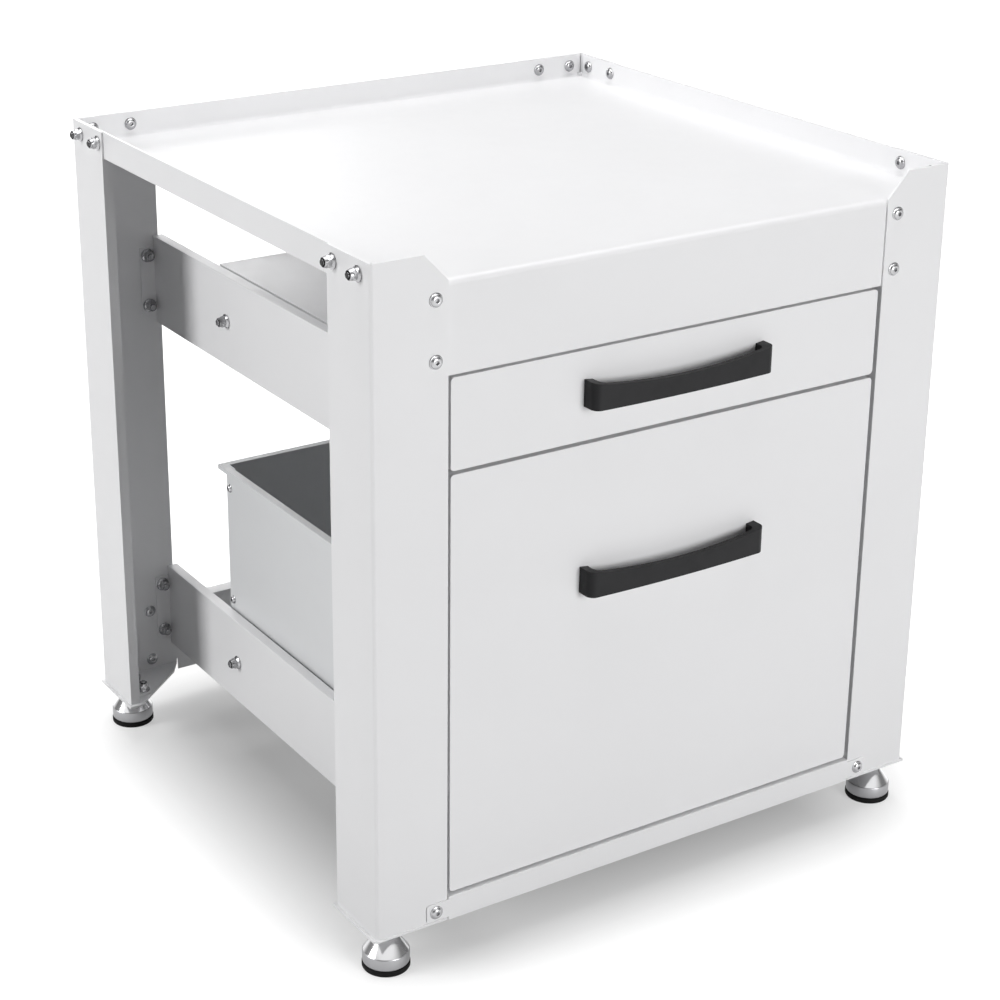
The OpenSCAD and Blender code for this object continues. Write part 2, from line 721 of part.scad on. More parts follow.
module runner_inner(h) {
    foot_x = 2 * (runner_sheet + runner_gap) + runner_gap;
    foot_half = runner_steps(h)[2];
    leg_half = runner_steps(h)[0] - runner_sheet - runner_lip - runner_gap * 2 - 1;
    difference() {
        union() {
            translate([runner_t - runner_sheet, 0, -leg_half]) cube([runner_sheet, runner_l, 2 * leg_half]);
            for (side = [-1, 1]) {
                translate([(foot_x + runner_t) / 2, runner_l / 2, side * (leg_half - runner_sheet / 2)])
                    cube([runner_t - foot_x, runner_l, runner_sheet], center = true);
                translate([foot_x + runner_sheet / 2, runner_l / 2,
                    side * ((leg_half - runner_sheet + foot_half) / 2)])
                    cube([runner_sheet, runner_l, foot_half - leg_half + runner_sheet], center = true);
            }
        }
        for (y = runner_screw_in)
            translate([runner_t, y == runner_screw_in[0] ? y : runner_l - y, 0])
                to_right() drill(m4_hole_r, runner_sheet * 3);
    }
}
module at_runner(z) {
    translate([rail_inset + rail_sheet, runner_y, z]) children();
}
module runner_bolt() {
    difference() {
        union() {
            cylinder(r1 = m6_r, r2 = m6_r + runner_sheet - thread_clearance, h = runner_sheet - thread_clearance);
            translate([0, 0, -m6_nut_h - rail_sheet - bolt_end])
                cylinder(r = m6_r, h = m6_nut_h + rail_sheet + bolt_end + cut);
        }
        translate([0, 0, runner_sheet * 0.4]) cylinder(r = m6_r * 0.6, h = runner_sheet, $fn = 6);
    }
}
module each_runner_bolt() {
    on_both_sides() for (z = [drawer_runner_z, shelf_runner_z], y = runner_bolt_ys)
        translate([rail_inset + rail_sheet, y, z]) to_right() children();
}
module runner_bolts() {
    each_runner_bolt() runner_bolt();
}
module runner_nuts() {
    each_runner_bolt() translate([0, 0, -rail_sheet]) rotate([180, 0, 0]) m6_nut();
}
module runner_screw() {
    button_bolt(m4_r, m4_head_r, m4_head_h, runner_screw_l);
}
module runner_screws(z) {
    on_both_sides() for (y = runner_screw_ys)
        translate([half_w - box_half_w + box_sheet, y, z]) to_right() runner_screw();
}

// Fronts: a folded pan with a liner closing its back
module front_outline(z0, z1, inset, r) {
    x = front_half_w - inset;
    for (dz = [0, r]) translate([-x + r - dz, z0 + inset + dz]) square([2 * (x - r + dz), z1 - z0 - 2 * (inset + dz)]);
    for (px = [-x + r, x - r], pz = [z0 + inset + r, z1 - inset - r]) translate([px, pz]) circle(r);
}
module front_slab(z0, z1, inset, r, y0, y1) {
    translate([0, y1, 0]) to_front() linear_extrude(y1 - y0) front_outline(z0, z1, inset, r);
}
module front_pan(z0, z1, handle_z) {
    difference() {
        front_slab(z0, z1, 0, front_corner_r, front_y, liner_y);
        front_slab(z0, z1, box_sheet, max(front_corner_r - box_sheet, 0.5), front_y + box_sheet, liner_y + cut);
        for (x = [-handle_leg_x, handle_leg_x])
            translate([x, front_y, handle_z + handle_h / 2]) to_front() drill(m4_hole_r, box_sheet * 4);
    }
}
module front_liner(z0, z1, bolt_zs) {
    difference() {
        front_slab(z0, z1, box_sheet + liner_clearance, max(front_corner_r - box_sheet, 0.5),
            liner_y - box_sheet, liner_y);
        for (x = [-front_bolt_x, front_bolt_x], z = bolt_zs)
            translate([x, liner_y, z]) to_front() drill(m5_hole_r);
    }
}
module front_bolts(bolt_zs) {
    for (x = [-front_bolt_x, front_bolt_x], z = bolt_zs)
        translate([x, liner_y + box_sheet, z]) to_back() m5_bolt(2 * box_sheet);
}
module front_nuts(bolt_zs) {
    for (x = [-front_bolt_x, front_bolt_x], z = bolt_zs)
        translate([x, liner_y - box_sheet, z]) to_front() m5_nut();
}

// Handle: a bowed grip whose ends turn back to the front; z = 0 is its lower edge
module handle_plan() {
    half_l = handle_l / 2;
    front_x = half_l - handle_corner_r;
    bow_r = (front_x * front_x + handle_bow * handle_bow) / (2 * handle_bow);
    tip = handle_reach + handle_bow;
    difference() {
        union() {
            intersection() {
                translate([-front_x, 0]) square([2 * front_x, tip]);
                translate([0, tip - bow_r]) circle(bow_r, $fn = 256);
            }
            for (x = [-half_l, front_x]) translate([x, 0]) square([handle_corner_r, handle_reach - handle_corner_r]);
            for (x = [-front_x, front_x]) translate([x, handle_reach - handle_corner_r]) circle(handle_corner_r);
        }
        handle_hollow(half_l - handle_leg_w, bow_r, tip);
    }
}
module handle_hollow(x, bow_r, tip) {
    flat_y = handle_reach - handle_t - handle_inner_r;
    translate([-x, -cut]) square([2 * x, flat_y + cut]);
    intersection() {
        translate([-x + handle_inner_r, -cut]) square([2 * (x - handle_inner_r), tip]);
        translate([0, tip - bow_r]) circle(bow_r - handle_t, $fn = 256);
    }
    for (px = [-x + handle_inner_r, x - handle_inner_r]) translate([px, flat_y]) circle(handle_inner_r);
}
module handle(z0) {
    dip_r = (handle_l * handle_l / 4 + handle_dip * handle_dip) / (2 * handle_dip);
    translate([0, front_y, z0]) difference() {
        intersection() {
            mirror([0, 1, 0]) linear_extrude(handle_h) handle_plan();
            translate([-handle_l, -handle_reach - handle_bow - 1, 0])
                cube([2 * handle_l, handle_reach + handle_bow + 1, handle_h]);
        }
        translate([0, 1, handle_h - handle_dip + dip_r])
            to_front() cylinder(r = dip_r, h = handle_reach + handle_bow + 2, $fn = 256);
        for (x = [-handle_leg_x, handle_leg_x])
            translate([x, cut, handle_h / 2]) to_front()
                cylinder(r = m4_r + thread_clearance, h = handle_screw_l - box_sheet + cut + 1);
    }
}
module handle_screws(z0) {
    for (x = [-handle_leg_x, handle_leg_x])
        translate([x, front_y + box_sheet, z0 + handle_h / 2])
            to_back() button_bolt(m4_r, m4_head_r, m4_head_h, handle_screw_l);
}

// Drawer box: bottom, front wall and sides from one sheet, with the rim rolled out over the sides
module rolled_rim(x, y0, y1) {
    translate([x, y0, box_top - box_sheet]) cube([box_rim_w, y1 - y0, box_sheet]);
    translate([x + box_rim_w - box_sheet, y0, box_top - box_rim_drop])
        cube([box_sheet, y1 - y0, box_rim_drop]);
}
module drawer_box() {
    difference() {
        union() {
            translate([-box_half_w, liner_y, box_z]) cube([2 * box_half_w, box_d, box_sheet]);
            translate([-box_half_w, liner_y, box_z]) cube([2 * box_half_w, box_sheet, box_h]);
            for (side = [0, 1]) mirror([side, 0, 0]) {
                translate([box_half_w - box_sheet, liner_y, box_z]) cube([box_sheet, box_d, box_h]);
                rolled_rim(box_half_w - box_sheet, liner_y, box_back_y);
            }
        }
        for (x = [-front_bolt_x, front_bolt_x], z = front_bolt_zs)
            translate([x, liner_y, z]) to_front() drill(m5_hole_r);
        for (side = [-1, 1], z = back_bolt_zs)
            translate([side * box_half_w, box_back_y - back_bolt_in, z]) to_right() drill(m5_hole_r);
        for (side = [-1, 1], y = runner_screw_ys)
            translate([side * box_half_w, y, drawer_runner_z]) to_right() drill(m4_hole_r, box_sheet * 4);
    }
}
module drawer_back() {
    rim_x = box_half_w - box_sheet + box_rim_w;
    flange_x = box_half_w - box_sheet;
    difference() {
        union() {
            translate([-box_half_w, box_back_y, box_z]) cube([2 * box_half_w, box_sheet, box_h]);
            translate([-rim_x, box_back_y, box_top - box_sheet]) cube([2 * rim_x, box_rim_w, box_sheet]);
            translate([-rim_x, box_back_y + box_rim_w - box_sheet, box_top - box_rim_drop])
                cube([2 * rim_x, box_sheet, box_rim_drop]);
            for (x = [-rim_x, rim_x - box_sheet])
                translate([x, box_back_y, box_top - box_rim_drop]) cube([box_sheet, box_rim_w, box_rim_drop]);
            for (x = [-flange_x, flange_x - box_sheet])
                translate([x, box_back_y - box_tab_w, box_z + box_sheet])
                    cube([box_sheet, box_tab_w + box_sheet, box_h - box_sheet]);
        }
        for (side = [-1, 1], z = back_bolt_zs)
            translate([side * box_half_w, box_back_y - back_bolt_in, z]) to_right() drill(m5_hole_r);
    }
}
module each_back_bolt() {
    for (z = back_bolt_zs) {
        translate([box_half_w, box_back_y - back_bolt_in, z]) to_right() children();
        translate([-box_half_w, box_back_y - back_bolt_in, z]) to_left() children();
    }
}
module drawer_bolts() {
    front_bolts(front_bolt_zs);
    each_back_bolt() m5_bolt(2 * box_sheet);
}
module drawer_nuts() {
    front_nuts(front_bolt_zs);
    each_back_bolt() translate([0, 0, -2 * box_sheet]) rotate([180, 0, 0]) m5_nut();
}

// Shelf: a flat plate with its four edges turned down
module shelf_plate() {
    wall_h = shelf_top - shelf_side_z;
    difference() {
        union() {
            translate([-box_half_w, liner_y, shelf_top - box_sheet]) cube([2 * box_half_w, box_d, box_sheet]);
            translate([-box_half_w, liner_y, shelf_side_z]) cube([2 * box_half_w, box_sheet, wall_h]);
            for (x = [-box_half_w, box_half_w - box_sheet])
                translate([x, liner_y, shelf_side_z]) cube([box_sheet, box_d, wall_h]);
            translate([-box_half_w, box_back_y - box_sheet, shelf_top - shelf_back_h])
                cube([2 * box_half_w, box_sheet, shelf_back_h]);
        }
        for (x = [-front_bolt_x, front_bolt_x], z = shelf_bolt_zs)
            translate([x, liner_y, z]) to_front() drill(m5_hole_r);
        for (side = [-1, 1], y = runner_screw_ys)
            translate([side * box_half_w, y, shelf_runner_z]) to_right() drill(m4_hole_r, box_sheet * 4);
    }
}

white = [0.87, 0.87, 0.88];
zinc = [0.72, 0.73, 0.74];
black = [0.08, 0.08, 0.09];
inner_grey = [0.45, 0.46, 0.48];

place() color(white) at_left() front_post();  // post_front_left
place() color(white) at_right() front_post();  // post_front_right
place() color(white) at_back() at_left() back_post();  // post_back_left
place() color(white) at_back() at_right() back_post();  // post_back_right
place() color(white) at_left() base_plate(front_face_w);  // base_plate_front_left
place() color(white) at_right() base_plate(front_face_w);  // base_plate_front_right
place() color(white) at_back() at_left() base_plate(back_face_w);  // base_plate_back_left
place() color(white) at_back() at_right() base_plate(back_face_w);  // base_plate_back_right
place() color(white) deck();
place() color(white) at_left() side_rail(upper_rail_z);  // rail_upper_left
place() color(white) at_right() side_rail(upper_rail_z);  // rail_upper_right
place() color(white) at_left() side_rail(lower_rail_z);  // rail_lower_left
place() color(white) at_right() side_rail(lower_rail_z);  // rail_lower_right
place() color(white) rail_front();
place() color(white) rail_back();
place() color(zinc) at_left() foot();  // foot_front_left
place() color(zinc) at_right() foot();  // foot_front_right
place() color(zinc) at_back() at_left() foot();  // foot_back_left
place() color(zinc) at_back() at_right() foot();  // foot_back_right
place() color(black) at_left() pad();  // pad_front_left
place() color(black) at_right() pad();  // pad_front_right
place() color(black) at_back() at_left() pad();  // pad_back_left
place() color(black) at_back() at_right() pad();  // pad_back_right
place() color(zinc) {  // foot_nuts
    on_both_sides() corner_foot_nuts();
    at_back() on_both_sides() corner_foot_nuts();
}
place() color(zinc) deck_bolts();
place() color(zinc) deck_nuts();
place() color(zinc) rail_joints("bolt");  // frame_bolts
place() color(zinc) rail_joints("nut");  // frame_nuts
place() color(zinc) runner_bolts();
place() color(zinc) runner_nuts();
place() color(white) front_pan(drawer_front_z, drawer_front_top, drawer_handle_z);  // drawer_front
place() color(white) front_liner(drawer_front_z, drawer_front_top, front_bolt_zs);  // drawer_front_liner
place() color(inner_grey) drawer_box();
place() color(inner_grey) drawer_back();
place() color(black) handle(drawer_handle_z);  // drawer_handle
place() color(zinc) handle_screws(drawer_handle_z);  // drawer_handle_screws
place() color(zinc) drawer_bolts();
place() color(zinc) drawer_nuts();
place() color(zinc) runner_screws(drawer_runner_z);  // drawer_runner_screws
place() color(white) front_pan(shelf_front_z, shelf_front_top, shelf_handle_z);  // shelf_front
place() color(white) front_liner(shelf_front_z, shelf_front_top, shelf_bolt_zs);  // shelf_front_liner
place() color(white) shelf_plate();
place() color(black) handle(shelf_handle_z);  // shelf_handle
place() color(zinc) handle_screws(shelf_handle_z);  // shelf_handle_screws
place() color(zinc) front_bolts(shelf_bolt_zs);  // shelf_bolts
place() color(zinc) front_nuts(shelf_bolt_zs);  // shelf_nuts
place() color(zinc) runner_screws(shelf_runner_z);  // shelf_runner_screws
place() color(zinc) at_left() at_runner(drawer_runner_z) runner_fixed(drawer_runner_h);  // drawer_runner_fixed_left
place() color(zinc) at_right() at_runner(drawer_runner_z) runner_fixed(drawer_runner_h);  // drawer_runner_fixed_right
place() color(zinc) at_left() at_runner(drawer_runner_z) runner_middle(drawer_runner_h);  // drawer_runner_middle_left
place() color(zinc) at_right() at_runner(drawer_runner_z) runner_middle(drawer_runner_h);  // drawer_runner_middle_right
place() color(zinc) at_left() at_runner(drawer_runner_z) runner_inner(drawer_runner_h);  // drawer_runner_inner_left
place() color(zinc) at_right() at_runner(drawer_runner_z) runner_inner(drawer_runner_h);  // drawer_runner_inner_right
place() color(zinc) at_left() at_runner(shelf_runner_z) runner_fixed(shelf_runner_h);  // shelf_runner_fixed_left
place() color(zinc) at_right() at_runner(shelf_runner_z) runner_fixed(shelf_runner_h);  // shelf_runner_fixed_right
place() color(zinc) at_left() at_runner(shelf_runner_z) runner_middle(shelf_runner_h);  // shelf_runner_middle_left
place() color(zinc) at_right() at_runner(shelf_runner_z) runner_middle(shelf_runner_h);  // shelf_runner_middle_right
place() color(zinc) at_left() at_runner(shelf_runner_z) runner_inner(shelf_runner_h);  // shelf_runner_inner_left
place() color(zinc) at_right() at_runner(shelf_runner_z) runner_inner(shelf_runner_h);  // shelf_runner_inner_right
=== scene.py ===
# %% [markdown]
# # A washing-machine stand in Blender
# The stand is folded sheet steel with a pull-out shelf, a deep drawer and four levelling feet. Its exact
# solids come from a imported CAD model. This lesson gives them rounded edges, real fasteners, turned feet and
# finishes, and then a pale studio like the one in the product photograph.

import json
import math

import bmesh
import bpy
from mathutils import Matrix, Vector


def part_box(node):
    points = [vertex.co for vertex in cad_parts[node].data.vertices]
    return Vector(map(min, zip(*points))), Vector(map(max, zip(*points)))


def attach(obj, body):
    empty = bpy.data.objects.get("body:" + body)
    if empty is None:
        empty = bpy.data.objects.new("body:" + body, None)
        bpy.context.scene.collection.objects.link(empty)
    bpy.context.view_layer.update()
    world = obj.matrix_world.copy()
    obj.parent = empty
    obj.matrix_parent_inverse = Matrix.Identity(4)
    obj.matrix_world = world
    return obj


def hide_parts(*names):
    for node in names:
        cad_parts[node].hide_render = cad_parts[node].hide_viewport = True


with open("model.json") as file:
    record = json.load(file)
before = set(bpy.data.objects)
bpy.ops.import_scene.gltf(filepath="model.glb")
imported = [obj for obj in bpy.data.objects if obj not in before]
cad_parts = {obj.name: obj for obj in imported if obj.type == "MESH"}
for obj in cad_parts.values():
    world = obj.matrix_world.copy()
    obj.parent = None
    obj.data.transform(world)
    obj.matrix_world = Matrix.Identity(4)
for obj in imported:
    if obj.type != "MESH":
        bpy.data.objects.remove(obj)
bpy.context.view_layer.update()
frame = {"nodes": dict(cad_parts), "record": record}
print("nodes:", len(frame["nodes"]))

# %% [markdown]
# ## Working units
# Blender works in metres here, while sheet metal is thought of in millimetres. One constant keeps the numbers
# below readable.

# %% Units and small helpers
MM = 0.001
BODY_OF = {node: body for body, nodes in frame["record"]["behaviour"]["bodies"].items() for node in nodes}
SLOT_OF = {part["node"]: part["material_slot"] for part in frame["record"]["subparts"]}


def new_object(name, mesh):
    """Puts a mesh into the scene as an object at the origin."""
    made = bpy.data.objects.new(name, mesh)
    bpy.context.scene.collection.objects.link(made)
    return made


def settle(piece):
    """Turns a piece with modifiers into a plain mesh, and takes the modifiers off."""
    evaluated = piece.evaluated_get(bpy.context.evaluated_depsgraph_get())
    mesh = bpy.data.meshes.new_from_object(evaluated)
    piece.modifiers.clear()
    piece.data = mesh
    return piece


def hand_over(piece, node, finish=None):
    """The piece stands for its CAD node, rides on that node's body and takes a finish, or keeps its own."""
    if finish is not None:
        piece.data.materials.clear()
        piece.data.materials.append(finish)
    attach(piece, BODY_OF[node])
    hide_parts(node)
    return piece


# %% [markdown]
# ## Finishes
# Every finish is made of nodes that read Object coordinates, so a pattern stays on its piece when the drawer
# slides. Powder coat is never one flat colour: it has a fine orange peel, a slightly uneven gloss, and a tone
# that wanders by a percent or two over a large panel. The peel is a noise with cells of about a millimetre
# that drives a weak bump.

# %% A small kit for node trees
def start_finish(name):
    """A new material with a Principled shader, and the Object coordinates that all its patterns read."""
    finish = bpy.data.materials.new(name)
    finish.use_nodes = True
    tree = finish.node_tree
    shader = tree.nodes["Principled BSDF"]
    place = tree.nodes.new("ShaderNodeTexCoord").outputs["Object"]
    return finish, tree, shader, place


def noise(tree, place, scale, detail=2.0, rough=0.5):
    """A noise of so many cells a metre."""
    node = tree.nodes.new("ShaderNodeTexNoise")
    node.inputs["Scale"].default_value = scale
    node.inputs["Detail"].default_value = detail
    node.inputs["Roughness"].default_value = rough
    tree.links.new(place, node.inputs["Vector"])
    return node.outputs["Fac"]


def spread(tree, value, low, high, start=0.3, end=0.7):
    """Maps a noise from its usual span to low..high."""
    node = tree.nodes.new("ShaderNodeMapRange")
    node.inputs["From Min"].default_value = start
    node.inputs["From Max"].default_value = end
    node.inputs["To Min"].default_value = low
    node.inputs["To Max"].default_value = high
    tree.links.new(value, node.inputs["Value"])
    return node.outputs["Result"]


def tint(tree, value, dark, light):
    """Mixes two colours by a noise."""
    node = tree.nodes.new("ShaderNodeMix")
    node.data_type = "RGBA"
    node.inputs["A"].default_value = (*dark, 1)
    node.inputs["B"].default_value = (*light, 1)
    tree.links.new(value, node.inputs["Factor"])
    return node.outputs["Result"]


def bump(tree, shader, height, strength, depth):
    """Pushes the surface's shading in and out by depth metres."""
    node = tree.nodes.new("ShaderNodeBump")
    node.inputs["Strength"].default_value = strength
    node.inputs["Distance"].default_value = depth
    tree.links.new(height, node.inputs["Height"])
    tree.links.new(node.outputs["Normal"], shader.inputs["Normal"])
    return node


# %% Powder coats
def powder_coat(name, colour, gloss, peel):
    """A sprayed and baked coat: an uneven tone, an uneven gloss and orange peel."""
    finish, tree, shader, place = start_finish(name)
    wander = spread(tree, noise(tree, place, 5.0, 3.0), 0.0, 1.0)
    dark = tuple(c * 0.975 for c in colour)
    tree.links.new(tint(tree, wander, dark, colour), shader.inputs["Base Color"])
    tree.links.new(spread(tree, noise(tree, place, 60.0, 2.0), *gloss), shader.inputs["Roughness"])
    bump(tree, shader, noise(tree, place, 900.0, 2.0, 0.6), peel, 0.00004)
    return finish


white_coat = powder_coat("white_powder_coat", (0.83, 0.83, 0.84), (0.36, 0.46), 0.35)
# The drawer box has the same white coat as the frame, here darkened to 0.72 as painted shade for a box deep inside
# the stand.
drawer_coat_painted_shade = powder_coat("drawer_powder_coat", (0.72, 0.73, 0.74), (0.38, 0.48), 0.35)
black_coat = powder_coat("black_powder_coat", (0.007, 0.007, 0.008), (0.46, 0.58), 0.8)
black_coat.node_tree.nodes["Principled BSDF"].inputs["Specular IOR Level"].default_value = 0.22
print("coats:", white_coat.name, drawer_coat_painted_shade.name, black_coat.name)

# %% [markdown]
# ## Metals and rubber
# Zinc-plated fasteners are mid grey with a few bright spots: their gloss changes in small patches. The feet are
# turned on a lathe, so their roughness runs in fine rings round the axis. The rings come from the height alone,
# which is why a Separate XYZ node picks out Z. The cup keeps its dull turned side, and the cone over it is
# polished, so the same height also switches between two finishes. That change of gloss is real, while the cup's
# much darker colour is painted shade and the cone's light one a painted highlight.

# %% Metals and rubber
def plated_metal(name, colour, gloss, grain):
    """Plated steel with a patchy gloss and a fine grain."""
    finish, tree, shader, place = start_finish(name)
    shader.inputs["Metallic"].default_value = 1.0
    wander = spread(tree, noise(tree, place, 180.0, 3.0), 0.0, 1.0)
    tree.links.new(tint(tree, wander, tuple(c * 0.88 for c in colour), colour), shader.inputs["Base Color"])
    tree.links.new(spread(tree, noise(tree, place, 420.0, 2.0), *gloss), shader.inputs["Roughness"])
    bump(tree, shader, noise(tree, place, 2400.0, 2.0), grain, 0.00002)
    return finish


def turned_metal(name, dull, bright, dull_gloss, bright_gloss, change):
    """Turned metal, dull and darker below the height change, polished and lighter above it, with fine rings from
    the lathe tool; the change of colour is painted shade and highlight.
    """
    finish, tree, shader, place = start_finish(name)
    shader.inputs["Metallic"].default_value = 1.0
    split = tree.nodes.new("ShaderNodeSeparateXYZ")
    height = tree.nodes.new("ShaderNodeCombineXYZ")
    tree.links.new(place, split.inputs["Vector"])
    tree.links.new(split.outputs["Z"], height.inputs["Z"])
    rings = noise(tree, height.outputs["Vector"], 2600.0, 4.0, 0.7)
    upper = spread(tree, split.outputs["Z"], 0.0, 1.0, change - 0.0001, change + 0.0001)
    tree.links.new(tint(tree, upper, dull, bright), shader.inputs["Base Color"])
    levels = [tree.nodes.new("ShaderNodeMapRange") for _ in range(2)]
    for level, low, high in zip(levels, dull_gloss, bright_gloss):
        level.inputs["To Min"].default_value = low
        level.inputs["To Max"].default_value = high
        tree.links.new(upper, level.inputs["Value"])
    gloss = tree.nodes.new("ShaderNodeMapRange")
    gloss.inputs["From Min"].default_value = 0.3
    gloss.inputs["From Max"].default_value = 0.7
    tree.links.new(rings, gloss.inputs["Value"])
    tree.links.new(levels[0].outputs["Result"], gloss.inputs["To Min"])
    tree.links.new(levels[1].outputs["Result"], gloss.inputs["To Max"])
    tree.links.new(gloss.outputs["Result"], shader.inputs["Roughness"])
    bump(tree, shader, rings, 0.25, 0.00002)
    return finish


def moulded_rubber(name, colour):
    """Black rubber with a dull, slightly pitted skin."""
    finish, tree, shader, place = start_finish(name)
    wander = spread(tree, noise(tree, place, 120.0, 3.0), 0.0, 1.0)
    tree.links.new(tint(tree, wander, tuple(c * 0.6 for c in colour), colour), shader.inputs["Base Color"])
    tree.links.new(spread(tree, noise(tree, place, 300.0, 2.0), 0.62, 0.82), shader.inputs["Roughness"])
    shader.inputs["Specular IOR Level"].default_value = 0.15
    bump(tree, shader, noise(tree, place, 1500.0, 2.0), 0.5, 0.00005)
    return finish


bolt_zinc = plated_metal("bolt_zinc", (0.44, 0.44, 0.45), (0.14, 0.27), 0.25)
nut_zinc = plated_metal("nut_zinc", (0.40, 0.40, 0.41), (0.18, 0.34), 0.25)
# Near black: painted shade for the dark inside of a nut's bore and on a bolt's end.
oiled_thread = plated_metal("oiled_thread", (0.035, 0.035, 0.036), (0.40, 0.55), 0.6)
runner_zinc = plated_metal("runner_zinc", (0.60, 0.61, 0.63), (0.28, 0.42), 0.3)
# The cup's dark 0.36 is painted shade and the cone's 0.80 a painted highlight; their gloss differs for real.
foot_chrome = turned_metal(
    "foot_chrome", (0.36, 0.36, 0.37), (0.80, 0.80, 0.81), (0.28, 0.42), (0.10, 0.20), 18.2 * MM)
pad_rubber = moulded_rubber("pad_rubber", (0.006, 0.006, 0.006))
FINISH_OF_SLOT = {
    "white_paint": white_coat,
    "drawer_paint": drawer_coat_painted_shade,
    "handle_black": black_coat,
    "fastener_steel": bolt_zinc,
    "runner_zinc": runner_zinc,
    "foot_metal": foot_chrome,
    "pad_rubber": pad_rubber,
}
for node, part in frame["nodes"].items():
    part.data.materials.clear()
    part.data.materials.append(FINISH_OF_SLOT[SLOT_OF[node]])
print("finishes by slot:", len(FINISH_OF_SLOT))

# %% [markdown]
# ## Folded sheet
# A press brake leaves a small radius on every edge of a sheet, and paint rounds it further. That line of light
# along an edge is what makes metal look like metal. A CAD mesh arrives as loose triangles, so a copy of it is
# welded, its flat faces are joined again, and a Bevel modifier rounds the edges. A Weighted Normal modifier
# keeps the large faces flat in the light. The CAD part itself stays as it is, and the piece replaces it.

# %% Weld a copy and round its edges
def welded(node, name):
    """A copy of a CAD node with shared corners and whole faces."""
    mesh = frame["nodes"][node].data.copy()
    work = bmesh.new()
    work.from_mesh(mesh)
    bmesh.ops.remove_doubles(work, verts=work.verts, dist=0.004 * MM)
    bmesh.ops.dissolve_limit(work, angle_limit=math.radians(0.4), verts=work.verts, edges=work.edges)
    for face in work.faces:
        face.smooth = True
    work.to_mesh(mesh)
    work.free()
    mesh.name = name
    return new_object(name, mesh)


def rounded(piece, width, steps=2, weight=None, angle=28):
    """Rounds the edges of a piece. weight(a, b) gives an edge's share of the width, from its two ends."""
    edge = piece.modifiers.new("round", "BEVEL")
    edge.width = width
    edge.segments = steps
    edge.harden_normals = True
    if weight is None:
        edge.limit_method = "ANGLE"
        edge.angle_limit = math.radians(angle)
    else:
        edge.limit_method = "WEIGHT"
        mesh = piece.data
        work = bmesh.new()
        work.from_mesh(mesh)
        weights = work.edges.layers.float
        layer = weights.get("bevel_weight_edge") or weights.new("bevel_weight_edge")
        for e in work.edges:
            sharp = len(e.link_faces) == 2 and e.calc_face_angle(0) > math.radians(angle)
            e[layer] = weight(e.verts[0].co, e.verts[1].co) if sharp else 0.0
        work.to_mesh(mesh)
        work.free()
    even = piece.modifiers.new("even", "WEIGHTED_NORMAL")
    even.keep_sharp = True
    return settle(piece)


# %% The frame, the box and the runners
SHEET_ROUNDING = {
    "post": 0.45, "base": 0.5, "deck": 0.45, "rail_front": 0.45, "rail_back": 0.45, "drawer_back": 0.35,
    "shelf_plate": 0.4,
}
sheets = [n for n in frame["nodes"] if n.startswith(tuple(SHEET_ROUNDING)) and "paint" in SLOT_OF[n]]
for node in sorted(sheets):
    width = next(w for start, w in SHEET_ROUNDING.items() if node.startswith(start))
    sheet = rounded(welded(node, node + "_folded"), width * MM)
    hand_over(sheet, node, FINISH_OF_SLOT[SLOT_OF[node]])
    print(sheet.name, len(sheet.data.polygons), "faces")

# %% [markdown]
# ## Wide folds
# The side rails and the rim of the drawer box are bent round a larger tool, so their folds carry a soft band
# of light. A fold has two radii: the outer one is the inner one plus the sheet. So an edge gets its share of
# the width by its place: how far it runs from the middle of the stand, and how high.

# %% Side rails and drawer box
SHEET, WIDE_FOLD = 1.5 * MM, 2.7 * MM
OUTER, INNER = 1.0, (WIDE_FOLD - SHEET) / WIDE_FOLD
WEB_INSET, RIM_WIDTH = 27 * MM, 8 * MM


def fold_shares(folds, fine):
    """Shares for the edges along Y that run at a (distance from the middle, height), and fine for the rest."""
    def share(a, b):
        if abs(a.x - b.x) < 0.01 * MM and abs(a.z - b.z) < 0.01 * MM:
            for x, z, part in folds:
                if abs(abs(a.x) - x) < 0.03 * MM and abs(a.z - z) < 0.03 * MM:
                    return part
        return fine
    return share


for node in sorted(n for n in frame["nodes"] if n.startswith(("rail_upper", "rail_lower"))):
    low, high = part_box(node)
    web = max(abs(low.x), abs(high.x)) - WEB_INSET
    folds = [(web, low.z, OUTER), (web, high.z, OUTER),
             (web - SHEET, low.z + SHEET, INNER), (web - SHEET, high.z - SHEET, INNER)]
    rail = rounded(welded(node, node + "_folded"), WIDE_FOLD, 4, fold_shares(folds, 0.16))
    hand_over(rail, node, white_coat)
    print(rail.name, len(rail.data.polygons), "faces")

low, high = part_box("drawer_box")
wall = high.x - RIM_WIDTH
folds = [(high.x, high.z, OUTER), (high.x - SHEET, high.z - SHEET, INNER),
         (wall, high.z, OUTER), (wall + SHEET, high.z - SHEET, INNER)]
box = rounded(welded("drawer_box", "drawer_box_folded"), WIDE_FOLD, 4, fold_shares(folds, 0.13))
hand_over(box, "drawer_box", drawer_coat_painted_shade)
print(box.name, len(box.data.polygons), "faces")

# %% [markdown]
# ## The two fronts
# Each front is a pan: a face with its four edges folded back. Its outer edge has a clear radius that catches
# the light as a thin bright line, while the edges of the sheet at the back are sharp. So each edge gets its
# own share of the bevel, by whether it lies in the plane of the face.

# %% The fronts
FRONT_RADIUS, SHEET_SHARE = 1.3 * MM, 0.22
for node in ("drawer_front", "shelf_front"):
    face_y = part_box(node)[0].y

    def share(a, b):
        return 1.0 if max(a.y, b.y) < face_y + 0.01 * MM else SHEET_SHARE

    front = rounded(welded(node, node + "_folded"), FRONT_RADIUS, 3, share)
    hand_over(front, node, white_coat)
    print(front.name, len(front.data.polygons), "faces")

# %% [markdown]
# ## The handles
# The handles are cast and coated in matt black. They have soft edges all over, except where the legs stand on
# the front, so the edges in that plane keep their corners.

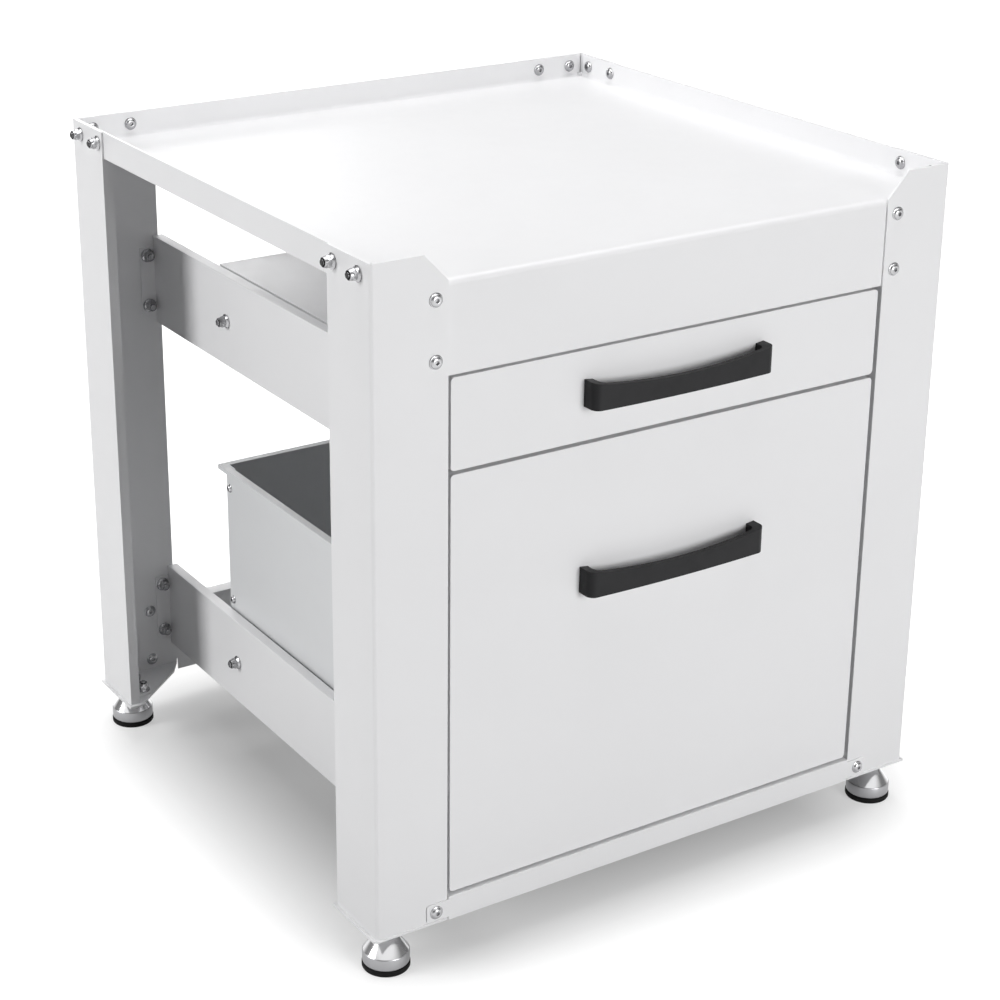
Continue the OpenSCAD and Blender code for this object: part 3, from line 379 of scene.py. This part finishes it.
# %% The handles
HANDLE_RADIUS = 2.0 * MM
for node in ("drawer_handle", "shelf_handle"):
    seat_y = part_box(node)[1].y

    def share(a, b):
        return 0.0 if min(a.y, b.y) > seat_y - 0.01 * MM else 1.0

    handle = rounded(welded(node, node + "_cast"), HANDLE_RADIUS, 4, share, 32)
    hand_over(handle, node, black_coat)
    print(handle.name, len(handle.data.polygons), "faces")

# %% [markdown]
# ## Turned pieces
# Bolts, nuts and feet are all turned shapes, some with a hexagon in them. One function makes them: it stacks
# rings along Z, and each ring is either round or a hexagon with its corners drawn in. A ring of radius zero
# closes an end.

# %% A lathe that also cuts hexagons
def ring_radius(kind, size, angle):
    """The radius of a ring at an angle: round, or a hexagon whose size is half its width across flats."""
    if kind == "round":
        return size
    return size / math.cos((angle + math.pi / 6) % (math.pi / 3) - math.pi / 6)


def turned(name, profile, around=48, mouth=0):
    """A closed mesh from (kind, size, z) rings, from one end to the other. The faces of the last mouth rings get
    painted shade.
    """
    work = bmesh.new()
    dark = work.faces.layers.bool.new("mouth")
    rings = []
    for kind, size, z in profile:
        if size == 0:
            rings.append([work.verts.new((0, 0, z))])
            continue
        ring = []
        for i in range(around):
            angle = 2 * math.pi * i / around
            r = ring_radius(kind, size, angle)
            ring.append(work.verts.new((r * math.cos(angle), r * math.sin(angle), z)))
        rings.append(ring)
    for step, (a, b) in enumerate(zip(rings, rings[1:])):
        for i in range(around):
            j = (i + 1) % around
            corners = [a[i % len(a)], a[j % len(a)], b[j % len(b)], b[i % len(b)]]
            work.faces.new(list(dict.fromkeys(corners)))[dark] = step >= len(rings) - 1 - mouth
    if len(rings[0]) > 1:
        for i in range(around):
            j = (i + 1) % around
            work.faces.new([rings[-1][i], rings[-1][j], rings[0][j], rings[0][i]])[dark] = mouth > 0
    bmesh.ops.recalc_face_normals(work, faces=work.faces)
    for face in work.faces:
        face.smooth = True
    for e in work.edges:
        e.smooth = e.calc_face_angle(0) < math.radians(34)
    mesh = bpy.data.meshes.new(name)
    work.to_mesh(mesh)
    work.free()
    return mesh


# %% [markdown]
# ## Bolts and nuts
# The bolts have a low domed head on a thin flange, with a hexagon socket. The nuts are lock nuts: a flange, a
# hexagon with chamfered corners and a round collar. The inside of the collar and the bolt's end are painted
# near black as shade, so that a nut shows a dark round middle. The sizes below are those of the solids they
# stand for, with the flange's rounded rim, the chamfers and the collar added.

# %% Master shapes
def bolt_shape(name, r, head_r, head_h, length):
    """A flanged button-head bolt: the head stands on z = 0."""
    socket = r * 0.7 * math.cos(math.pi / 6)
    rim = head_h * 0.3
    profile = [
        ("hex", 0, head_h * 0.42), ("hex", socket, head_h * 0.42), ("hex", socket, head_h * 0.96),
        ("round", head_r * 0.43, head_h), ("round", head_r * 0.58, head_h * 0.96),
        ("round", head_r * 0.73, head_h * 0.80), ("round", head_r * 0.84, head_h * 0.56),
        ("round", head_r * 0.88, rim * 1.12), ("round", head_r * 0.95, rim), ("round", head_r, rim * 0.7),
        ("round", head_r, rim * 0.2), ("round", head_r * 0.97, 0), ("round", r, 0),
        ("round", r, -length + 0.5 * MM), ("round", r * 0.84, -length), ("round", 0, -length),
    ]
    return turned(name, profile, mouth=2)


def lock_nut_shape(name, bore, flats, height, flange_r):
    """A flanged lock nut that stands on z = 0."""
    half = flats / 2
    rim = height * 0.16
    profile = [
        ("round", bore, 0), ("round", flange_r * 0.98, 0), ("round", flange_r, rim * 0.35),
        ("round", flange_r, rim * 0.75), ("round", half * 1.2, rim * 1.6), ("hex", half, rim * 1.9),
        ("hex", half, height * 0.62), ("round", half * 0.99, height * 0.70), ("round", half * 0.97, height * 0.74),
        ("round", half * 0.95, height * 0.95), ("round", half * 0.90, height), ("round", bore * 1.36, height),
        ("round", bore * 1.30, height * 0.86), ("round", bore, height * 0.84), ("round", bore, height * 0.5),
    ]
    return turned(name, profile, mouth=3)


def plain_nut_shape(name, bore, flats, height):
    """A plain hexagon nut with chamfered corners, from z = 0."""
    half = flats / 2
    chamfer = half * 0.07
    profile = [
        ("round", bore, 0), ("round", half * 0.97, 0), ("hex", half, chamfer), ("hex", half, height - chamfer),
        ("round", half * 0.97, height), ("round", bore * 1.08, height), ("round", bore, height - chamfer),
    ]
    return turned(name, profile)


# %% [markdown]
# ## Where the fasteners sit
# A group of fasteners is one CAD node with many separate solids. The places are read from it: each island of
# the welded mesh gives a centre, and the direction comes from its shape. A bolt's head and a nut's flange are
# the wide end, so the axis points from the narrow end to the wide end of a bolt, and the other way for a nut.

# %% Read the islands of a node
def islands(node):
    """The separate solids of a node, as lists of corner points."""
    work = bmesh.new()
    work.from_mesh(frame["nodes"][node].data)
    bmesh.ops.remove_doubles(work, verts=work.verts, dist=0.004 * MM)
    seen, groups = set(), []
    for first in work.verts:
        if first in seen:
            continue
        seen.add(first)
        stack, group = [first], []
        while stack:
            v = stack.pop()
            group.append(v.co.copy())
            for e in v.link_edges:
                other = e.other_vert(v)
                if other not in seen:
                    seen.add(other)
                    stack.append(other)
        groups.append(group)
    work.free()
    return groups


def measure(points, longest):
    """The axis of a solid towards its wide end, the middle of that end, and the length along the axis."""
    low = Vector([min(p[i] for p in points) for i in range(3)])
    high = Vector([max(p[i] for p in points) for i in range(3)])
    size = high - low
    centre = (low + high) / 2
    pick = max if longest else min
    k = pick(range(3), key=lambda i: size[i])
    reach = {}
    for sign, end in ((1, high[k]), (-1, low[k])):
        near = [p for p in points if abs(p[k] - end) < size[k] * 0.3]
        reach[sign] = max((Vector([0 if i == k else p[i] - centre[i] for i in range(3)])).length for p in near)
    sign = 1 if reach[1] >= reach[-1] else -1
    axis = Vector([sign if i == k else 0 for i in range(3)])
    wide = Vector(centre)
    wide[k] = high[k] if sign > 0 else low[k]
    return axis, wide, size[k]


# %% [markdown]
# ## One Geometry Nodes tree for all of them
# The tree takes a mesh of bare points, each with an aim, and puts one fastener on each. Nobody lines up the
# sockets of a hundred bolts, so each one is spun by a random angle with a fixed seed. The tree ends in Realize
# Instances and Set Material, and the result is kept as a plain mesh. The lathe has marked the faces inside a
# nut's mouth and on a bolt's end, and a second Set Material paints only those near black, as shade in the recess.

# %% Build the tree
def fastener_tree():
    """Points in, turned fasteners out."""
    tree = bpy.data.node_groups.new("fasteners_on_points", "GeometryNodeTree")
    face = tree.interface
    face.new_socket("Points", in_out="INPUT", socket_type="NodeSocketGeometry")
    face.new_socket("Fastener", in_out="INPUT", socket_type="NodeSocketObject")
    face.new_socket("Spin", in_out="INPUT", socket_type="NodeSocketFloat").default_value = 1.0
    face.new_socket("Seed", in_out="INPUT", socket_type="NodeSocketInt").default_value = 7
    face.new_socket("Finish", in_out="INPUT", socket_type="NodeSocketMaterial")
    face.new_socket("Mouth", in_out="INPUT", socket_type="NodeSocketMaterial")
    face.new_socket("Fasteners", in_out="OUTPUT", socket_type="NodeSocketGeometry")
    make, link = tree.nodes.new, tree.links.new
    given, result = make("NodeGroupInput"), make("NodeGroupOutput")
    aim = make("GeometryNodeInputNamedAttribute")
    aim.data_type = "FLOAT_VECTOR"
    aim.inputs["Name"].default_value = "aim"
    turn = make("FunctionNodeAlignRotationToVector")
    turn.axis = "Z"
    chance = make("FunctionNodeRandomValue")
    chance.data_type = "FLOAT"
    chance.inputs[2].default_value = 0.0
    spin = make("FunctionNodeRotateRotation")
    spin.rotation_space = "LOCAL"
    about = make("FunctionNodeAxisAngleToRotation")
    about.inputs["Axis"].default_value = (0, 0, 1)
    shape = make("GeometryNodeObjectInfo")
    place = make("GeometryNodeInstanceOnPoints")
    real, paint = make("GeometryNodeRealizeInstances"), make("GeometryNodeSetMaterial")
    inside, darken = make("GeometryNodeInputNamedAttribute"), make("GeometryNodeSetMaterial")
    inside.data_type = "BOOLEAN"
    inside.inputs["Name"].default_value = "mouth"
    link(given.outputs["Spin"], chance.inputs[3])
    link(given.outputs["Seed"], chance.inputs["Seed"])
    link(chance.outputs[1], about.inputs["Angle"])
    link(aim.outputs["Attribute"], turn.inputs["Vector"])
    link(turn.outputs["Rotation"], spin.inputs["Rotation"])
    link(about.outputs["Rotation"], spin.inputs["Rotate By"])
    link(given.outputs["Fastener"], shape.inputs["Object"])
    link(given.outputs["Points"], place.inputs["Points"])
    link(shape.outputs["Geometry"], place.inputs["Instance"])
    link(spin.outputs["Rotation"], place.inputs["Rotation"])
    link(place.outputs["Instances"], real.inputs["Geometry"])
    link(real.outputs["Geometry"], paint.inputs["Geometry"])
    link(given.outputs["Finish"], paint.inputs["Material"])
    link(paint.outputs["Geometry"], darken.inputs["Geometry"])
    link(inside.outputs["Attribute"], darken.inputs["Selection"])
    link(given.outputs["Mouth"], darken.inputs["Material"])
    link(darken.outputs["Geometry"], result.inputs["Fasteners"])
    return tree


fasteners_on_points = fastener_tree()
SOCKETS = {s.name: s.identifier for s in fasteners_on_points.interface.items_tree if s.in_out == "INPUT"}
print("tree inputs:", sorted(SOCKETS))


# %% Run the tree on one group
def place_fasteners(name, places, shape, finish, spin=2 * math.pi):
    """Puts a shape on each (point, aim) and returns the plain mesh."""
    cloud = bpy.data.meshes.new(name)
    cloud.from_pydata([tuple(p) for p, _ in places], [], [])
    aims = cloud.attributes.new("aim", "FLOAT_VECTOR", "POINT")
    for i, (_, aim) in enumerate(places):
        aims.data[i].vector = aim
    group = new_object(name, cloud)
    master = new_object(name + "_master", shape)
    tool = group.modifiers.new("fasteners", "NODES")
    tool.node_group = fasteners_on_points
    tool[SOCKETS["Fastener"]] = master
    tool[SOCKETS["Spin"]] = spin
    tool[SOCKETS["Seed"]] = len(places)
    tool[SOCKETS["Finish"]] = finish
    tool[SOCKETS["Mouth"]] = oiled_thread
    settle(group)
    bpy.data.objects.remove(master)
    mesh = group.data
    given = list(mesh.materials)
    dark = [given[p.material_index] == oiled_thread for p in mesh.polygons]
    mesh.materials.clear()
    mesh.materials.append(finish)
    mesh.materials.append(oiled_thread)
    mesh.polygons.foreach_set("material_index", [int(d) for d in dark])
    for extra in [a.name for a in mesh.attributes if a.name in ("aim", "mouth")]:
        mesh.attributes.remove(mesh.attributes[extra])
    return group


def join_pieces(name, parts):
    """Joins several plain meshes into one piece."""
    work = bmesh.new()
    for part in parts:
        work.from_mesh(part.data)
    mesh = bpy.data.meshes.new(name)
    work.to_mesh(mesh)
    work.free()
    for finish in parts[0].data.materials:
        mesh.materials.append(finish)
    for part in parts:
        bpy.data.objects.remove(part)
    return new_object(name, mesh)


# %% [markdown]
# ## All the bolts
# Each node of bolts holds one thread size but may hold several lengths, because some bolts go through more
# sheets. So the islands are sorted by length first, each length gets its own master shape, and the results are
# joined into one piece for the node. The ends of the deck's bolts are painted near black, as shade deep in the
# nuts on the rims. The others are bright right across.

# %% Bolts
# Each thread: the shank's radius, the head's radius and the head's height, in millimetres.
M6, M5, M4 = (3.0, 6.5, 3.4), (2.5, 4.5, 2.8), (2.0, 3.6, 2.2)
BOLT_HEADS = {
    "deck_bolts": M6, "frame_bolts": M6, "drawer_bolts": M5, "shelf_bolts": M5,
    "drawer_handle_screws": M4, "shelf_handle_screws": M4, "drawer_runner_screws": M4, "shelf_runner_screws": M4,
}
# These nodes get the painted shade on their ends and in their bores.
DARK_ENDS = {"deck_bolts", "deck_nuts"}
for node, (r, head_r, head_h) in BOLT_HEADS.items():
    by_length = {}
    for points in islands(node):
        axis, head, length = measure(points, longest=not node.endswith("runner_screws"))
        by_length.setdefault(round(length / MM, 2), []).append((head - axis * head_h * MM, axis))
    parts = []
    for length, places in by_length.items():
        shape = bolt_shape(f"{node}_{length}", r * MM, head_r * MM, head_h * MM, (length - head_h) * MM)
        if node not in DARK_ENDS:
            shape.attributes.remove(shape.attributes["mouth"])
        parts.append(place_fasteners(f"{node}_{length}_set", places, shape, bolt_zinc))
    bolts = join_pieces(node + "_turned", parts)
    hand_over(bolts, node)
    print(bolts.name, {length: len(places) for length, places in by_length.items()})

# %% [markdown]
# ## All the nuts
# A nut's wide end is its flange, which lies on the sheet, so the nut stands the other way round from a bolt:
# its place is the wide end, and it points away from it. The plain nuts on the M5 bolts and on the feet are the
# same at both ends, and so either way will do. Each of these is given by its bore's radius and its width
# across flats.

# %% Nuts
LOCK_NUTS = {"deck_nuts", "frame_nuts", "runner_nuts"}
LOCK_BORE, LOCK_FLATS, LOCK_FLANGE = 3.05 * MM, 10 * MM, 7.2 * MM
PLAIN_NUTS = {"drawer_nuts": (2.55, 8.0), "shelf_nuts": (2.55, 8.0), "foot_nuts": (6.08, 18.0)}
for node in sorted(LOCK_NUTS | set(PLAIN_NUTS)):
    by_height = {}
    for points in islands(node):
        axis, seat, height = measure(points, longest=False)
        by_height.setdefault(round(height / MM, 2), []).append((seat, -axis))
    parts = []
    for height, places in by_height.items():
        if node in LOCK_NUTS:
            shape = lock_nut_shape(f"{node}_{height}", LOCK_BORE, LOCK_FLATS, height * MM, LOCK_FLANGE)
            if node not in DARK_ENDS:
                shape.attributes.remove(shape.attributes["mouth"])
        else:
            bore, flats = PLAIN_NUTS[node]
            shape = plain_nut_shape(f"{node}_{height}", bore * MM, flats * MM, height * MM)
        turn = 0.0 if node == "foot_nuts" else 2 * math.pi
        parts.append(place_fasteners(f"{node}_{height}_set", places, shape, nut_zinc, turn))
    nuts = join_pieces(node + "_turned", parts)
    hand_over(nuts, node)
    print(nuts.name, {height: len(places) for height, places in by_height.items()})

# %% [markdown]
# ## The feet
# Each foot is a chromed cup with a cone above it, and a rubber pad below. The lathe makes them in the same
# place as the solids. Small chamfers and a groove above the pad catch the light as thin bright rings.

# %% Feet and pads
NECK_R, STUD_R = 9 * MM, 6 * MM


def foot_shape(name, low, high):
    """The cup, the cone, the neck and the stud of a foot, in the solids' own sizes."""
    middle = (low + high) / 2
    bottom, top = low.z, high.z
    side, cone, neck = bottom + 12 * MM, bottom + 26 * MM, bottom + 30.5 * MM
    r = (high.x - low.x) / 2
    profile = [
        ("round", 0, bottom), ("round", r - 0.8 * MM, bottom), ("round", r - 0.8 * MM, bottom + 0.7 * MM),
        ("round", r, bottom + 1.3 * MM), ("round", r, side - 0.8 * MM), ("round", r - 0.25 * MM, side - 0.2 * MM),
        ("round", r - 0.9 * MM, side + 0.4 * MM), ("round", 11.4 * MM, cone - 0.5 * MM),
        ("round", 10.6 * MM, cone), ("round", NECK_R, cone), ("round", NECK_R, neck - 0.4 * MM),
        ("round", NECK_R - 0.4 * MM, neck), ("round", STUD_R, neck), ("round", STUD_R, top - 1 * MM),
        ("round", STUD_R - 1 * MM, top), ("round", 0, top),
    ]
    mesh = turned(name, profile, 96)
    mesh.transform(Matrix.Translation((middle.x, middle.y, 0)))
    return mesh


def pad_shape(name, low, high):
    """A rubber disc with rounded rims."""
    middle = (low + high) / 2
    r = (high.x - low.x) / 2
    z0, z1 = low.z, high.z
    profile = [
        ("round", 0, z0), ("round", r - 1.6 * MM, z0), ("round", r - 0.6 * MM, z0 + 0.4 * MM),
        ("round", r, z0 + 1.5 * MM), ("round", r, z1 - 1.0 * MM), ("round", r - 0.3 * MM, z1 - 0.3 * MM),
        ("round", r - 0.9 * MM, z1), ("round", 0, z1),
    ]
    mesh = turned(name, profile, 96)
    mesh.transform(Matrix.Translation((middle.x, middle.y, 0)))
    return mesh


for corner in ("front_left", "front_right", "back_left", "back_right"):
    foot = new_object(f"foot_{corner}_turned", foot_shape(f"foot_{corner}_turned", *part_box("foot_" + corner)))
    hand_over(foot, "foot_" + corner, foot_chrome)
    pad = new_object(f"pad_{corner}_moulded", pad_shape(f"pad_{corner}_moulded", *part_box("pad_" + corner)))
    hand_over(pad, "pad_" + corner, pad_rubber)

# %% [markdown]
# ## The floor
# The photograph has a white ground that keeps a soft shadow. A white floor alone renders grey, and more lamps
# would burn out the stand. So the floor gets a little light of its own, which only the camera and reflections
# see, and which grows away from the stand. Its reach is measured from a square a little smaller than the stand:
# folding the coordinates to one quarter, taking the square away and cutting off below zero leaves the distance
# from its edge. The real shadow under the stand stays, and the weaker glow round it adds a painted shadow.

# %% Floor
bpy.ops.mesh.primitive_plane_add(size=24.0, location=(0, 0, -0.0002))
floor = bpy.context.object
floor.name = "studio_floor"
ground = bpy.data.materials.new("studio_floor_white")
ground.use_nodes = True
tree = ground.node_tree
tree.nodes.clear()
out = tree.nodes.new("ShaderNodeOutputMaterial")
base = tree.nodes.new("ShaderNodeBsdfDiffuse")
base.inputs["Color"].default_value = (0.42, 0.42, 0.42, 1)
glow = tree.nodes.new("ShaderNodeEmission")
both = tree.nodes.new("ShaderNodeAddShader")
rays = tree.nodes.new("ShaderNodeLightPath")
seen = tree.nodes.new("ShaderNodeMath")
seen.operation = "MAXIMUM"
clear = tree.nodes.new("ShaderNodeMath")
clear.operation = "MAXIMUM"
place = tree.nodes.new("ShaderNodeTexCoord")
fold, inset, outside, reach = (tree.nodes.new("ShaderNodeVectorMath") for _ in range(4))
fold.operation, inset.operation, outside.operation, reach.operation = "ABSOLUTE", "SUBTRACT", "MAXIMUM", "LENGTH"
inset.inputs[1].default_value = (0.2, 0.2, 0.0)
outside.inputs[1].default_value = (0.0, 0.0, 0.0)
# Weakest glow at the stand, growing outwards: a painted shadow round the stand on top of its real one.
painted_shadow_ramp = tree.nodes.new("ShaderNodeMapRange")
painted_shadow_ramp.interpolation_type = "SMOOTHSTEP"
painted_shadow_ramp.inputs["From Min"].default_value = 0.0
painted_shadow_ramp.inputs["From Max"].default_value = 0.28
painted_shadow_ramp.inputs["To Min"].default_value = 0.2
painted_shadow_ramp.inputs["To Max"].default_value = 1.04
strength = tree.nodes.new("ShaderNodeMath")
strength.operation = "MULTIPLY"
tree.links.new(rays.outputs["Is Camera Ray"], seen.inputs[0])
tree.links.new(rays.outputs["Is Glossy Ray"], seen.inputs[1])
tree.links.new(seen.outputs[0], clear.inputs[0])
tree.links.new(rays.outputs["Is Transmission Ray"], clear.inputs[1])
tree.links.new(place.outputs["Object"], fold.inputs[0])
tree.links.new(fold.outputs[0], inset.inputs[0])
tree.links.new(inset.outputs[0], outside.inputs[0])
tree.links.new(outside.outputs[0], reach.inputs[0])
tree.links.new(reach.outputs["Value"], painted_shadow_ramp.inputs["Value"])
tree.links.new(painted_shadow_ramp.outputs["Result"], strength.inputs[0])
tree.links.new(clear.outputs[0], strength.inputs[1])
tree.links.new(strength.outputs[0], glow.inputs["Strength"])
tree.links.new(base.outputs[0], both.inputs[0])
tree.links.new(glow.outputs[0], both.inputs[1])
tree.links.new(both.outputs[0], out.inputs["Surface"])
floor.data.materials.append(ground)
print("floor:", floor.name)

# %% [markdown]
# ## Light
# The photograph is lit by large soft boxes straight above, in front and to the left. Faces that look one of
# these ways are nearly white, and faces that look another way, such as the insides of the back posts, are dark.
# Three area lamps on those axes give that, with a weak even sky. A weaker fourth lamp behind lights the shelf
# plate through the open back and keeps the back from going dull. The camera sees the sky white. Reflections see
# it white at the horizon and overhead with a grey gap between, as in a real studio, so that metal keeps some
# contrast.

# %% Lamps and sky
def soft_box(name, place, aim, width, height, watts):
    """A rectangular area lamp that looks at a point."""
    lamp = bpy.data.lights.new(name, "AREA")
    lamp.shape = "RECTANGLE"
    lamp.size, lamp.size_y = width, height
    lamp.energy = watts
    box = bpy.data.objects.new(name, lamp)
    bpy.context.scene.collection.objects.link(box)
    box.location = place
    box.rotation_euler = (Vector(aim) - Vector(place)).to_track_quat("-Z", "Y").to_euler()
    box.visible_camera = False
    return box


soft_box("top_box", (0.15, 0.1, 3.0), (0, 0, 0.6), 2.0, 2.4, 55)
soft_box("left_box", (-4.4, 1.1, 2.3), (0, 0, 0.45), 1.9, 2.6, 148)
soft_box("front_box", (0.38, -3.1, 0.95), (0, 0, 0.4), 1.4, 1.4, 59)
soft_box("back_box", (0.5, 3.4, 1.5), (0, 0, 0.5), 2.0, 1.4, 34)

sky = bpy.data.worlds.new("studio_sky")
bpy.context.scene.world = sky
sky.use_nodes = True
tree = sky.node_tree
tree.nodes.clear()
out = tree.nodes.new("ShaderNodeOutputWorld")
air = tree.nodes.new("ShaderNodeBackground")
air.inputs["Color"].default_value = (1, 1, 1, 1)
rays = tree.nodes.new("ShaderNodeLightPath")
way = tree.nodes.new("ShaderNodeTexCoord")
split = tree.nodes.new("ShaderNodeSeparateXYZ")
wall, roof = (tree.nodes.new("ShaderNodeMapRange") for _ in range(2))
for band, start, end, near, far in ((wall, 0.1, 0.3, 1.0, 0.22), (roof, 0.55, 0.75, 0.22, 1.0)):
    for socket, value in (("From Min", start), ("From Max", end), ("To Min", near), ("To Max", far)):
        band.inputs[socket].default_value = value
mirrored, studio, seen, clear, even = (tree.nodes.new("ShaderNodeMath") for _ in range(5))
mirrored.operation = "MULTIPLY"
studio.operation = seen.operation = clear.operation = even.operation = "MAXIMUM"
even.inputs[1].default_value = 0.035
tree.links.new(way.outputs["Generated"], split.inputs["Vector"])
tree.links.new(split.outputs["Z"], wall.inputs["Value"])
tree.links.new(split.outputs["Z"], roof.inputs["Value"])
tree.links.new(wall.outputs["Result"], studio.inputs[0])
tree.links.new(roof.outputs["Result"], studio.inputs[1])
tree.links.new(studio.outputs[0], mirrored.inputs[0])
tree.links.new(rays.outputs["Is Glossy Ray"], mirrored.inputs[1])
tree.links.new(rays.outputs["Is Camera Ray"], seen.inputs[0])
tree.links.new(mirrored.outputs[0], seen.inputs[1])
tree.links.new(seen.outputs[0], clear.inputs[0])
tree.links.new(rays.outputs["Is Transmission Ray"], clear.inputs[1])
tree.links.new(clear.outputs[0], even.inputs[0])
tree.links.new(even.outputs[0], air.inputs["Strength"])
tree.links.new(air.outputs[0], out.inputs["Surface"])
bpy.context.scene.view_settings.view_transform = "Standard"

# %% [markdown]
# ## Camera
# The place, the turn and the lens were worked out from the corners of the stand in the photograph. The small
# shift is part of that: the stand doesn't sit in the middle of the picture's perspective.

# %% Camera
lens = bpy.data.cameras.new("studio_camera")
lens.lens = 80.97
lens.sensor_width = 36.0
lens.shift_x = 0.05
lens.shift_y = -0.08
lens.clip_start, lens.clip_end = 0.05, 60.0
camera = bpy.data.objects.new("studio_camera", lens)
bpy.context.scene.collection.objects.link(camera)
camera.location = (-1.1781, -1.7933, 1.2026)
camera.rotation_euler = (math.radians(69.219), math.radians(-0.155), math.radians(-32.049))
bpy.context.scene.camera = camera
print("camera at", [round(v, 3) for v in camera.location])
